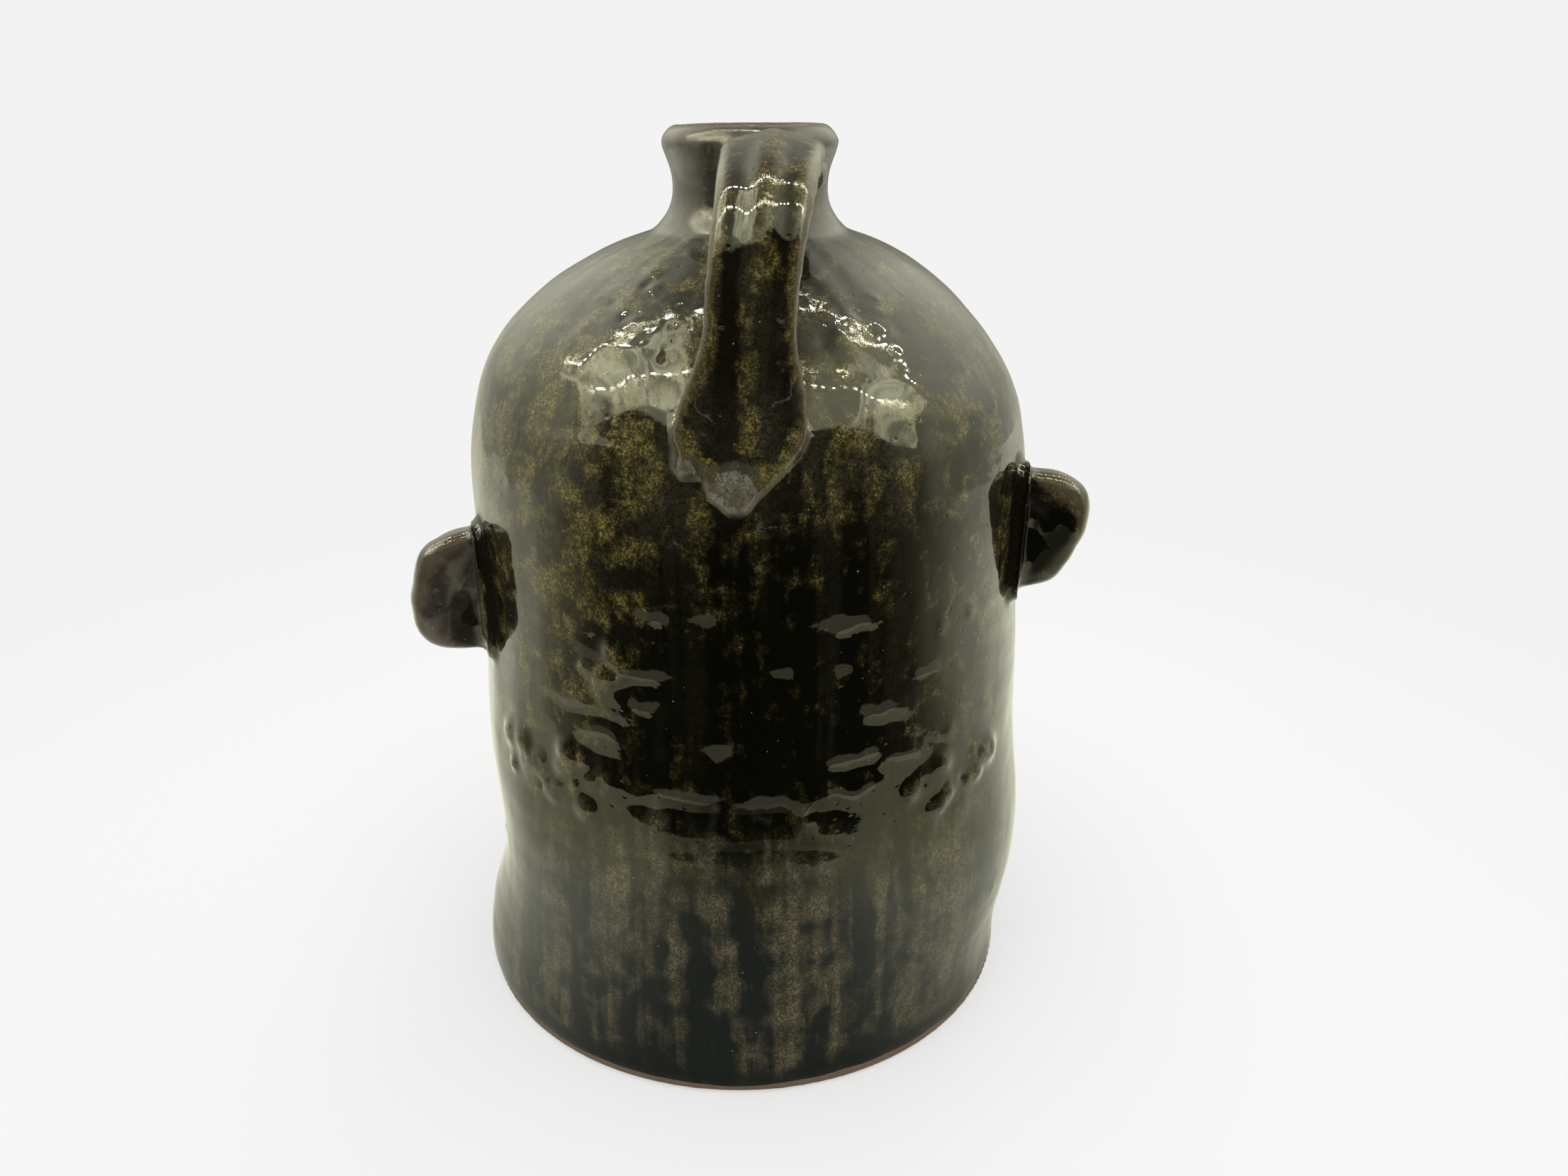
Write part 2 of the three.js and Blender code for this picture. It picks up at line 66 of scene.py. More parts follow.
# %% [markdown]
# ## The thrown wall
# The body was thrown on a wheel: a short belly, a slight waist and a domed shoulder, pushed out
# of round while wet. Lathe tools give a perfect turned form, so the wall is a formula instead: a
# radius for each height, plus soft pushes. Sizes are in millimetres. Azimuth 0 is the middle of
# the face, and it grows towards +X.

# %% Wall formula
MM = 0.001
LEAN = -0.0115
WAIST, SHOULDER, WALL = 82.6, 83.4, 7
DOME_START, DOME_RISE, DOME_POWER = 160, 79, 2.4
SEAT = 235.4
EYE_HEIGHT, NOSE_BASE, MOUTH_HEIGHT, EYE_SPREAD = 149, 119, 91, 29
EYE_TURN = math.degrees(EYE_SPREAD / WAIST)
PUSHES = [  # depth, azimuth, height, spread round the wall in degrees, spread along it
    (-8, 80, 50, 30, 17), (2, 100, 8, 40, 13), (2.8, -102, 56, 35, 22),
    (-2.4, -98, 14, 32, 13), (1.5, -102, 110, 35, 15), (2.2, 100, 207, 40, 11),
    (-2, -105, 214, 40, 11), (5, 0, MOUTH_HEIGHT - 38, 22, 16),
    (-4, 0, MOUTH_HEIGHT, 18.3, 14), (-3.5, EYE_TURN, EYE_HEIGHT, 12, 15),
    (-3.5, -EYE_TURN, EYE_HEIGHT, 12, 15), (2, 40, NOSE_BASE - 6, 14, 18),
    (2, -40, NOSE_BASE - 6, 14, 18),
]


def smooth(x, start, end):
    t = np.clip((x - start) / (end - start), 0, 1)
    return t * t * (3 - 2 * t)


def between(a, b, share):
    return a + (b - a) * share


def turn_from(azimuth, at):
    return (azimuth - at + 180) % 360 - 180


def wall_radius(z):
    radius = between(87.4, 87.6, smooth(z, 0, 36))
    radius = between(radius, WAIST, smooth(z, 36, 132))
    radius = between(radius, SHOULDER, smooth(z, 132, DOME_START))
    rise = np.clip((z - DOME_START) / DOME_RISE, 0, 0.99)
    return radius * np.sqrt(1 - rise ** DOME_POWER)


def pushed(azimuth, z):
    total = 0
    for depth, at, height, around, along in PUSHES:
        off = (turn_from(azimuth, at) / around) ** 2 + ((z - height) / along) ** 2
        total = total + depth * np.exp(-0.5 * off)
    return total


def on_wall(azimuth, z, stand):
    radius = wall_radius(z) + pushed(azimuth, z) + stand
    angle = np.radians(azimuth)
    x, y = radius * np.sin(angle) + LEAN * z, -radius * np.cos(angle)
    return np.stack([x, y, z + 0 * radius], -1)


def on_face(along, z, stand):
    return on_wall(np.degrees(along / WAIST), z, stand)


print("wall radius at the waist", WAIST)

# %% [markdown]
# ## Clay forms as rows of rings
# Each lump of clay is a row of rings with closed ends: rings of a turned profile, or sections
# along a curve. One helper makes the faces for all of them. The forms overlap on purpose, because
# they are melted into one skin later, as the potter smears wet clay over each joint.

# %% Rings to faces
clay = {}


def ring_faces(rows, size, loop=False):
    index = np.arange(rows * size).reshape(rows, size)
    here, ahead = (index, np.roll(index, -1, 0)) if loop else (index[:-1], index[1:])
    cells = np.stack([here, np.roll(here, -1, 1), np.roll(ahead, -1, 1), ahead], -1)
    return cells.reshape(-1, 4)


def add_clay(name, rings, loop=False):
    rings = np.asarray(rings, float)
    rows, size = rings.shape[:2]
    faces = ring_faces(rows, size, loop).tolist()
    if not loop:
        ends = np.arange(rows * size).reshape(rows, size)[[0, -1]]
        faces += [ends[0][::-1].tolist(), ends[1].tolist()]
    clay.setdefault(name, []).append((rings.reshape(-1, 3), faces))


def turned(profile, count):
    angle = np.linspace(0, 2 * np.pi, count, endpoint=False)
    radius, height = np.asarray(profile, float).T[..., None]
    return np.stack([radius * np.sin(angle), -radius * np.cos(angle), height + 0 * angle], -1)


def thrown(points):
    x, y, z = np.moveaxis(points, -1, 0)
    push = 1 + pushed(np.degrees(np.arctan2(x, -y)), z) / wall_radius(z)
    return np.stack([x * push + LEAN * z, y * push, z], -1)


print("ring helpers ready")

# %% [markdown]
# ## Body and neck
# The body is closed at the foot and has the bore of the neck sunk into its top. The neck collar
# was thrown apart and set on the shoulder, so it is a ring of its own: a waisted outside, a
# rounded lip and a straight bore.

# %% Body and neck
BORE = 16


def dome_profile(radius, rise, end, count):
    turns = np.linspace(0, math.acos(end / radius), count)
    return [(radius * math.cos(a), DOME_START + rise * math.sin(a) ** (2 / DOME_POWER))
            for a in turns]


foot = [(0.5, 0), *[(r, 0) for r in np.linspace(6, 86, 17)]]
wall = [(wall_radius(z), z) for z in np.arange(1.4, DOME_START, 2)]
dome = dome_profile(SHOULDER, DOME_RISE, 27.2, 60)
well = [(BORE, SEAT), (BORE, SEAT - 6), (BORE, SEAT - 13), (0.5, SEAT - 13)]
add_clay("jug_body", thrown(turned(foot + wall + dome + well, 320)))


def bezier(*points, count=10):
    t = np.linspace(0, 1, count)[:, None]
    rows = [np.asarray(p, float)[None] for p in points]
    while len(rows) > 1:
        rows = [between(a, b, t) for a, b in zip(rows, rows[1:])]
    return rows[0]


collar = np.vstack([
    [(BORE, -9), (22, -7), (30.5, -3.2)],
    bezier((28.4, -0.6), (25, 2.5), (21.8, 5.6), (21.8, 11.6)),
    bezier((21.8, 11.6), (21.8, 17.6), (24, 19.5), (25, 23.5))[1:],
    bezier((25, 23.5), (25, 24.5), (24, 25.5))[1:],
    bezier((24, 25.5), (22, 28.5), (20, 28.5))[1:],
    bezier((20, 28.5), (18.2, 28.5), (18.2, 26.9))[1:],
    bezier((18.2, 26.9), (BORE, 20.5), (BORE, 15.7))[1:],
    [(BORE, 8), (BORE, 0)],
])
around = turned(collar, 160) + np.array([LEAN * SEAT, 0, SEAT])
add_clay("neck_collar", around.swapaxes(0, 1), loop=True)
print("clay forms:", list(clay))

# %% [markdown]
# ## Strap handle
# The handle is a pulled strap: clay drawn out by a wet hand, with two finger flutes outside. It
# leaves the neck, bends over and lands on the shoulder, where a thumb spread it and drew it to a
# point. A curve with a bevel would keep one section all along, so the sections are placed along
# a smooth curve and change in width, thickness and flutes.

# %% Strap handle
def curve_through(knots, count):
    """A smooth curve through the knots, in steps of equal length."""
    knots = np.asarray(knots, float)
    rows = np.vstack([2 * knots[0] - knots[1], knots, 2 * knots[-1] - knots[-2]])
    t = np.linspace(0, 1, 60)[:, None]
    dense = []
    for p0, p1, p2, p3 in zip(rows, rows[1:], rows[2:], rows[3:]):
        pairs = ((p0, p1), (p1, p2), (p2, p3))
        d0, d1, d2 = (math.sqrt(np.linalg.norm(b - a)) for a, b in pairs)
        leave = d1 * ((p1 - p0) / d0 - (p2 - p0) / (d0 + d1) + (p2 - p1) / d1)
        arrive = d1 * ((p2 - p1) / d1 - (p3 - p1) / (d1 + d2) + (p3 - p2) / d2)
        bend = 2 * (p1 - p2) + leave + arrive
        dense.append(p1 + t * (leave + t * ((p2 - p1 - leave - bend) + t * bend)))
    dense = np.vstack(dense)
    length = np.r_[0, np.cumsum(np.linalg.norm(np.diff(dense, axis=0), axis=1))]
    even = np.linspace(0, length[-1], count)
    return np.stack([np.interp(even, length, dense[:, k]) for k in range(3)], -1)


LANDING, TAIL = -36.2, -57.2
landing_reach = wall_radius(SEAT + LANDING) + 3.4
tail_reach = wall_radius(SEAT + TAIL) + 1.4
KNOTS = [  # share of the sideways drift, reach from the middle, height above the seat
    (0, 15.8, 13.8), (0, 28.8, 20.9), (0.1, 45, 23.5), (0.3, 69.6, 13.6), (0.53, 76.5, -2),
    (0.75, (76.5 + landing_reach) / 2, -25.3), (0.9, landing_reach, LANDING), (1, tail_reach, TAIL),
]
spine = curve_through([(LEAN * SEAT + between(-7.8, 1.5, share), reach, SEAT + up)
                       for share, reach, up in KNOTS], 130)
print("strap spine:", len(spine), "points")

# %% Sections of the strap
across = -np.cos(np.linspace(0, np.pi, 41))
swell = np.sqrt(1 - across ** 4)
sections = []
for i, middle in enumerate(spine):
    t = i / (len(spine) - 1)
    ahead = spine[min(i + 1, len(spine) - 1)] - spine[max(i - 1, 0)]
    off_strap = np.cross((1, 0, 0), ahead)
    off_strap /= np.linalg.norm(off_strap)
    flare, tuck = smooth(t, 0.66, 0.86), smooth(t, 0.86, 1)
    width = between(between(27.2, 22.8, smooth(t, 0.2, 0.6)), 34, flare)
    width = between(width, 8, tuck) * (1 - 0.6 * smooth(t, 0.96, 1))
    thickness = between(between(9.5, 6.8, flare), 4.4, tuck)
    flute = 2.1 * (1 - tuck) * smooth(t, 0.05, 0.2) * np.sin(np.pi * across) ** 2
    outside = np.stack([across * width / 2, thickness / 2 * swell - flute], -1)
    inside = np.stack([across[-2:0:-2] * width / 2, -thickness / 2 * swell[-2:0:-2]], -1)
    section = np.vstack([outside, inside])
    crown = 2.4 * smooth(t, 0.06, 0.2) * (1 - smooth(t, 0.4, 0.62))
    section[:, 1] -= crown * (2 * section[:, 0] / width) ** 6
    sections.append(middle + section[:, :1] * np.array([1, 0, 0]) + section[:, 1:] * off_strap)
add_clay("strap_handle", sections)


def thumbed_lump(name, centre, size, tip):
    """A small oval lump, tipped in the plane of the wall behind the handle."""
    angle = np.linspace(0.05, np.pi - 0.05, 16)
    ball = turned(np.stack([np.sin(angle), np.cos(angle)], -1), 24) * np.asarray(size)
    c, s = math.cos(math.radians(tip)), math.sin(math.radians(tip))
    x, y, z = np.moveaxis(ball, -1, 0)
    add_clay(name, np.stack([x * c - z * s, y, x * s + z * c], -1) + centre)


thumbed_lump("strap_handle", on_wall(170.7, 188.4, 1.4), (3.2, 3, 2.9), 15)
thumbed_lump("strap_handle", on_wall(178.4, 184, 0.4), (7, 3.3, 5.4), 0)
print("strap sections:", len(sections))

# %% [markdown]
# ## Ears
# The ears are flat slabs set on edge, each cut by eye, with a thumbed hollow on the face side.
# An extruded outline would have hard edges. Here the outline shrinks ring by ring over a rounded
# edge, and the rings on the face side dip to make the hollow.

# %% Ears
EAR_THICK, EAR_EDGE, EAR_HOLLOW, EAR_ROOT = 9.6, 3.4, 3.4, 7
LEFT_EAR, RIGHT_EAR = (114, 138), (-110, 154)  # azimuth and height


def ear_frame(azimuth, height):
    """The middle of an ear's root, the way out of the wall and the way to the face."""
    angle, side = math.radians(azimuth), math.copysign(1, azimuth)
    out = np.array([math.sin(angle), -math.cos(angle), 0])
    toward_face = -side * np.array([math.cos(angle), math.sin(angle), 0])
    base = np.array([LEAN * height, 0, height]) + out * wall_radius(height)
    return base, out, toward_face


def add_ear(name, ear, outline):
    outline = np.asarray(outline, float)
    rim = curve_through(np.c_[outline, np.zeros(len(outline))], 60)[:, :2]
    low, high = rim[-1, 1], rim[0, 1]
    root = [(x, low) for x in np.linspace(0, -EAR_ROOT, 6)[1:]]
    back = [(-EAR_ROOT, z) for z in np.linspace(low, high, 26)[1:-1]]
    top = [(x, high) for x in np.linspace(-EAR_ROOT, 0, 6)[:-1]]
    loop = np.vstack([rim, root, back, top])
    middle = np.array([outline[:, 0].max() * 0.42, outline[:, 1].mean()])
    half = EAR_THICK / 2
    steps = [(s, -half, 0) for s in (0.05, 0.35, 0.6)]
    steps += [(1 - EAR_EDGE * (1 - math.cos(a)) / 16, half * math.sin(a), 0)
              for a in np.radians(np.linspace(-90, 90, 13))]
    steps += [(s, half, EAR_HOLLOW * (1 - (s / 0.72) ** 2) ** 2)
              for s in (0.7, 0.6, 0.5, 0.4, 0.3, 0.2, 0.1, 0.03)]
    base, out, toward_face = ear_frame(*ear)
    rings = []
    for scale, lift, dip in steps:
        flat = middle + (loop - middle) * scale
        upright = flat[:, :1] * out + flat[:, 1:] * np.array([0, 0, 1])
        rings.append(base + upright + (lift - dip) * toward_face)
    add_clay(name, rings)


add_ear("left_ear", LEFT_EAR, [(0, 19), (9, 18.8), (16.5, 15.5), (20.4, 6), (21.6, -4),
                               (19.5, -12.5), (13, -17.5), (0, -19.5)])
add_ear("right_ear", RIGHT_EAR, [(0, 19.5), (10, 19), (17, 15.8), (19.6, 10), (18.6, 1),
                                 (15.8, -8), (11, -14.8), (0, -19.5)])
print("ears:", len(clay["left_ear"][0][0]), "points each")

# %% [markdown]
# ## The face
# Lids, brows and lips are coils of clay laid on the wall, and the nose is a pinched wedge. The
# places follow the old rule of thirds: brows, base of the nose and chin are even steps. Each coil
# is drawn along a line on the wall, so it bends with the wall, and its back is sunk a little.

# %% Lids and brows
JOINT = 0.3


def full(t, end):
    return between(end, 1, np.sin(np.pi * np.clip(t, 0, 1)) ** 0.5)


def add_coil(name, line, half_width, rise, end, squareness=2, rows=70):
    t = np.linspace(0, 1, rows)
    swollen = full(t, end)[:, None]
    x, z = line(t)
    ahead = np.subtract(line(t + 0.002), line(t - 0.002)).T
    ahead /= np.linalg.norm(ahead, axis=1, keepdims=True)
    v = -np.cos(np.linspace(0, np.pi, 25))
    front = np.sqrt(np.maximum(0, 1 - np.abs(v) ** squareness))
    side = np.r_[v, 0.5, 0, -0.5]
    up = np.r_[front, 0, 0, 0]
    sunk = np.r_[np.zeros(25), 1, 1, 1]
    along = x[:, None] - ahead[:, 1:] * side * half_width * swollen
    height = z[:, None] + ahead[:, :1] * side * half_width * swollen
    add_clay(name, on_face(along, height, up * rise * swollen + JOINT - 3.3 * sunk))


EYE_WIDE, EYE_TALL = 15, 11.5
BROW_HEIGHT = EYE_HEIGHT + 18.2
for side, name in ((1, "left"), (-1, "right")):
    for lid, start, end in (("upper", -8, 188), ("lower", 190, 350)):
        def lid_line(t, start=start, end=end, side=side):
            turn = np.radians(between(start, end, t))
            return (side * (EYE_SPREAD + (EYE_WIDE - 1) * np.cos(turn)),
                    EYE_HEIGHT + (EYE_TALL - 1) * np.sin(turn))
        add_coil(f"{name}_{lid}_lid", lid_line, 4.6, 9.8, 0.62, 3)

    def brow_line(t, side=side):
        x = (1 - t) ** 2 * 9.5 + 2 * t * (1 - t) * 26.4 + t ** 2 * 47
        return side * x, BROW_HEIGHT + 2 * t * (1 - t) * 12 - t ** 2
    add_coil(f"{name}_brow", brow_line, 4.9, 8, 0.5)
print("clay forms so far:", len(clay))

# %% Nose and lips
nose_line = curve_through([(6, 5, 163), (6.5, 9.8, 149.8), (10.8, 16.8, 133.1),
                           (14, 21, 124.7), (12.6, 13.9, 119)], 60)
nose = []
for i, (half, rise, level) in enumerate(nose_line):
    wing = smooth(i / (len(nose_line) - 1), 0.55, 0.85)
    ridge = (1 - np.abs(across) ** 1.7) ** between(0.7, 1.1, wing)
    lobe = 0.36 * wing * np.sqrt(1 - across ** 6)
    front = on_face(across * half, level + 0 * across, JOINT + rise * np.maximum(ridge, lobe))
    back = on_face(np.array([0.5, 0, -0.5]) * half, np.full(3, level), -3)
    nose.append(np.vstack([front, back]))
add_clay("nose", nose)

MOUTH_HALF = 33
MOUTH_ROWS = (("upper", 1, 10), ("lower", -1, 9))  # name, up or down, how far it opens


def mouth_edge(along, open_by):
    return open_by * (1 - np.minimum(1, np.abs(along) / MOUTH_HALF) ** 2.4)


for row, sign, open_by in MOUTH_ROWS:
    def lip_line(t, sign=sign, open_by=open_by):
        along = between(-MOUTH_HALF, MOUTH_HALF, t)
        out = mouth_edge(along, open_by) + 4.8 * full(t, 0.42) + JOINT
        return along, MOUTH_HEIGHT + sign * out
    add_coil(row + "_lip", lip_line, 5, 9.8, 0.42, rows=110)
print("clay forms:", sorted(clay))

# %% [markdown]
# ## One skin over all the clay
# On the real jug every joint is smeared over and sealed by the glaze. Boolean unions would leave
# sharp seams. A voxel remesh melts the overlapping forms into one even skin, and some rounds of
# averaging with the neighbours leave a small fillet at each joint. The foot stays crisper.

# %% Remesh
def raw_mesh(name, points, faces):
    mesh = bpy.data.meshes.new(name)
    mesh.from_pydata((np.asarray(points) * MM).tolist(), [], faces, shade_flat=False)
    mesh.update()
    return mesh


def numbers(items, what, width, kind=float):
    held = np.empty(len(items) * width, kind)
    items.foreach_get(what, held)
    return held.reshape(-1, width)


VOXEL = 1.2 * MM
all_points, all_faces, labels, offset = [], [], [], 0
names = list(clay)
for label, name in enumerate(names):
    for points, faces in clay[name]:
        all_points.append(points)
        all_faces += [[offset + i for i in face] for face in faces]
        labels.append(np.full(len(points), label))
        offset += len(points)
all_points, labels = np.vstack(all_points), np.concatenate(labels)
lump = bpy.data.objects.new("wet_clay", raw_mesh("wet_clay", all_points, all_faces))
scene.collection.objects.link(lump)
melt = lump.modifiers.new("melt", "REMESH")
melt.mode = "VOXEL"
melt.voxel_size = VOXEL
melted = lump.evaluated_get(bpy.context.evaluated_depsgraph_get()).to_mesh()
skin = numbers(melted.vertices, "co", 3) / MM
quads = numbers(melted.loops, "vertex_index", 1, int).reshape(-1, 4)
edges = numbers(melted.edges, "vertices", 2, int)
bpy.data.objects.remove(lump)
print("remeshed skin:", len(skin), "points,", len(quads), "faces")

# %% Averaging with the neighbours
ends = np.concatenate([edges, edges[:, ::-1]])
links = np.bincount(ends[:, 0], minlength=len(skin))


def neighbours(values):
    flat = values.reshape(len(values), -1)
    total = [np.bincount(ends[:, 0], flat[ends[:, 1], k], len(flat)) for k in range(flat.shape[1])]
    return (np.stack(total, -1) / links[:, None]).reshape(values.shape)


def soften(values, rounds, share=0.5):
    for _ in range(rounds):
        values = values + share * (neighbours(values) - values)
    return values


melt_share = 0.5 * between(0.12, 1, smooth(skin[:, 2], 1, 7))[:, None]
skin = soften(skin, 9, melt_share)
skin[:, 2] = np.maximum(skin[:, 2], 0)
print("softened; lowest point", skin[:, 2].min())

# %% [markdown]
# ## Which piece each point belongs to
# The skin is one sheet now, but the jug is kept as separate named pieces. Each point takes the
# name of the nearest clay form. A softened share of 0 to 1 per form lets a finish fade later.

# %% Nearest clay form
tree = kdtree.KDTree(len(all_points))
for i, point in enumerate(all_points):
    tree.insert(point, i)
tree.balance()
piece_of = labels[[tree.find(point)[1] for point in skin]]
share_of = {name: soften((piece_of == label).astype(float), 12)
            for label, name in enumerate(names)}
body_share, strap_share = share_of["jug_body"], share_of["strap_handle"]
left_ear, right_ear = share_of["left_ear"], share_of["right_ear"]
ears = left_ear + right_ear
print("points per form:", np.bincount(piece_of))

# %% [markdown]
# ## Relief of hand and kiln
# Glossy glaze shows every dent, because the reflections bend. The wall carries a slow spiral of
# finger ridges, soft lumps, upright runs of glaze, three patches of warts and burst pits, flat
# pale islands, and a rolled edge above the foot. A bump map would leave the outline smooth, so
# the larger relief moves the points. The noise is a table of seeded random numbers.

# %% Noise and directions
TABLE = 32


def lattice_noise(points, cell, seed):
    table = np.random.default_rng(seed).uniform(-1, 1, (TABLE, TABLE, TABLE))
    place = points / cell + 97.3
    low = np.floor(place).astype(int)
    step = smooth(place - low, 0, 1)
    total = 0
    for corner in itertools.product((0, 1), repeat=3):
        weight = np.prod(np.where(corner, step, 1 - step), axis=1)
        total = total + weight * table[tuple(((low + corner) % TABLE).T)]
    return total


def outward(points, faces):
    mesh = raw_mesh("measure", points, faces.tolist())
    normals = np.array([v.vector for v in mesh.vertex_normals])
    bpy.data.meshes.remove(mesh)
    return normals


height = skin[:, 2]
azimuth = np.degrees(np.arctan2(skin[:, 0] - LEAN * height, -skin[:, 1]))
turn = np.radians(azimuth)
wrap = np.stack([84 * np.sin(turn), -84 * np.cos(turn), height], -1)
normal = outward(skin, quads)
face_zone = smooth(-np.abs(azimuth), -75, -45) * smooth(height, 55, 75)
print("directions at", len(skin), "points")

# %% Ridges, lumps and runs
RIDGE_STEP = 11.2
patchy = np.clip(0.2 + 0.9 * lattice_noise(skin, 42, 3), 0.05, 1)
spiral = height / RIDGE_STEP + azimuth / 360 + 0.22 * lattice_noise(wrap, 30, 4)
finger = np.sin(2 * np.pi * spiral) + 0.35 * np.sin(4 * np.pi * spiral + 1)
ridge = 0.1 * finger * patchy * smooth(height, 6, 20) * (1 - smooth(height, 196, 222))
lumps = 0.34 * lattice_noise(skin, 33, 5) + 0.18 * lattice_noise(skin, 14, 6)
lumps += 0.07 * lattice_noise(skin, 6, 7)
thick_runs = 0.16 * lattice_noise(wrap * np.array([1, 1, 0.1]), 8, 8) * smooth(height, 3, 15)
relief = lumps + body_share * (1 - 0.8 * face_zone) * (ridge + thick_runs)
above_ear = height - LEFT_EAR[1] * left_ear - RIGHT_EAR[1] * right_ear
ear_tilt = (0.1 + 0.05 * right_ear) * above_ear * np.clip(normal[:, 1], 0, 1)
relief += ears * (ear_tilt + 0.7 * lattice_noise(skin, 10, 16) + 0.2 * lattice_noise(skin, 4.5, 17))
print("relief so far up to %.2f mm" % relief.max())

# %% Warts and blisters
rng = np.random.default_rng(21)
WARTS = [  # azimuth, height, spread round the wall in degrees, spread along it, number
    (138, 95, 7, 6, 18), (-133, 91, 7, 5, 16), (156, 134, 4, 3, 6),
]
ORANGE_PEEL = [(-153, 216, 9, 7, 34), (152, 217, 8, 5, 20)]
LOOSE = 70
BLISTERS = [(-16.6, 58.5, 255.5), (-13.2, 60.5, 253.5), (-17.8, 62, 252.6), (-4.5, 60, 254.3)]


def bumps(places, radii, heights):
    total = np.zeros(len(skin))
    for place, radius, rise in zip(places, radii, heights):
        near = np.abs(skin - place).max(1) < 3 * radius
        away = ((skin[near] - place) ** 2).sum(1)
        total[near] += rise * np.exp(-away / radius ** 2)
    return total


def scattered(at, level, wide, tall, count):
    return on_wall(rng.normal(at, wide, count), rng.normal(level, tall, count), 0)


def random_bumps(places, radii, heights):
    count = len(places)
    return body_share * bumps(places, rng.uniform(*radii, count), rng.uniform(*heights, count))


for patch in WARTS:
    warts = scattered(*patch)
    relief += random_bumps(warts, (1.8, 4.2), (0.5, 1.5))
    burst = warts[::2] + rng.uniform(-1, 1, (len(warts[::2]), 3))
    relief -= random_bumps(burst, (1.0, 1.6), (0.6, 1.3))
for patch in ORANGE_PEEL:
    relief += random_bumps(scattered(*patch), (1.1, 2), (-0.4, 0.4))
loose = rng.uniform((-180, 12), (180, 205), (LOOSE, 2))
relief += random_bumps(on_wall(loose[:, 0], loose[:, 1], 0), (1.3, 2.4), (-0.25, 0.5))
relief += bumps(BLISTERS, (2.0, 1.7, 1.5, 1.9), (0.7, 0.6, 0.6, 0.4))
print("patches of warts:", len(WARTS))

# %% Steps and islands of glaze
STEPS = [  # azimuth of the middle, height, half length round the wall in degrees, rise
    (150, 191, 20, 0.3), (158, 213, 30, 0.25), (-148, 205, 22, 0.25), (-150, 176, 26, 0.16),
]
ISLANDS = [  # as for the steps
    (163.5, 148.5, 5, 0.3), (173, 148.7, 2, 0.26), (-162, 146.5, 7, 0.3), (-173, 134, 3, 0.24),
    (-163, 132.7, 2.5, 0.26), (161, 132, 6, 0.3), (161.5, 123, 4, 0.28), (-154.5, 120.5, 5, 0.28),
    (175, 111, 4, 0.2), (-160, 107, 6, 0.26), (150, 136, 5, 0.25), (152, 112, 5, 0.28),
    (-148, 104, 6, 0.28), (-143, 128, 4, 0.2), (146, 120, 5, 0.24), (169, 98, 8, 0.34),
    (-174, 96.5, 8, 0.36), (-161, 97.5, 6, 0.3),
]
wander = 1.5 * lattice_noise(wrap, 25, 13)
for at, level, half, rise in STEPS:
    off = turn_from(azimuth, at)
    below = smooth(level + wander - 0.05 * off - height, -1.6, 1.6)
    fade = np.exp(-(off / half) ** 4) * smooth(height, level - 16, level)
    relief += body_share * rise * fade * below
ragged = 1.3 * lattice_noise(skin, 5, 12) + 0.8 * lattice_noise(skin, 2.6, 18)
islands = np.zeros(len(skin))
for at, level, half, rise in ISLANDS:
    along_wall = np.exp(-((turn_from(azimuth, at) + 1.6 * ragged) / half) ** 4)
    island = body_share * along_wall * np.exp(-0.5 * ((height - level + ragged) / 1.7) ** 2)
    relief += rise * island
    islands = np.maximum(islands, island)
print("steps:", len(STEPS), "islands:", len(ISLANDS))

# %% Thumb mark, crust, drop and glaze edge
relief -= 1.3 * strap_share * bumps([on_wall(178.4, 194, 4)], [7], [1])
smeared = [on_wall(170.7, 188.4, 4), on_wall(178.6, 182.5, 4)]
smears = strap_share * bumps(smeared, (3.8, 6.4), (1.3, 2.2))
relief += np.clip(smears, 0, 1) * 0.7 * lattice_noise(skin, 2.8, 19)
drop = [on_wall(-169, 94, 0), on_wall(-168.6, 90.4, 0)]
relief += body_share * bumps(drop, (1.6, 2.0), (0.9, 1.1))
level_wrap = wrap * np.array([1, 1, 0])
glaze_line = 3.4 + 1.2 * lattice_noise(level_wrap, 21, 9) + 0.5 * lattice_noise(level_wrap, 7, 10)
GLAZE_THICK = 0.35
relief += GLAZE_THICK * smooth(height - glaze_line, -0.6, 1.2) - GLAZE_THICK
relief *= smooth(height, 0.2, 2.5)
print("relief from %.2f to %.2f mm" % (relief.min(), relief.max()))

# %% Move the points
NOSTRIL_DEEP, NOSTRIL_WIDE = 5.0, 2.9
skin = skin + normal * relief[:, None]
for side in (1, -1):
    hole = on_face(side * 6, NOSE_BASE, 7.5)
    away = ((skin[:, :2] - hole[:2]) ** 2).sum(1)
    under = (np.abs(height - NOSE_BASE) < 6) & (normal[:, 2] < 0.1)
    skin[:, 2] += NOSTRIL_DEEP * np.exp(-away / NOSTRIL_WIDE ** 2) * under
skin[:, 2] = np.maximum(skin[:, 2], 0)
normal = soften(outward(skin, quads), 1)
normal /= np.linalg.norm(normal, axis=1, keepdims=True)
pool = soften(((soften(skin, 26) - skin) * normal).sum(1), 2)
print("deepest pool %.2f mm" % pool.max())
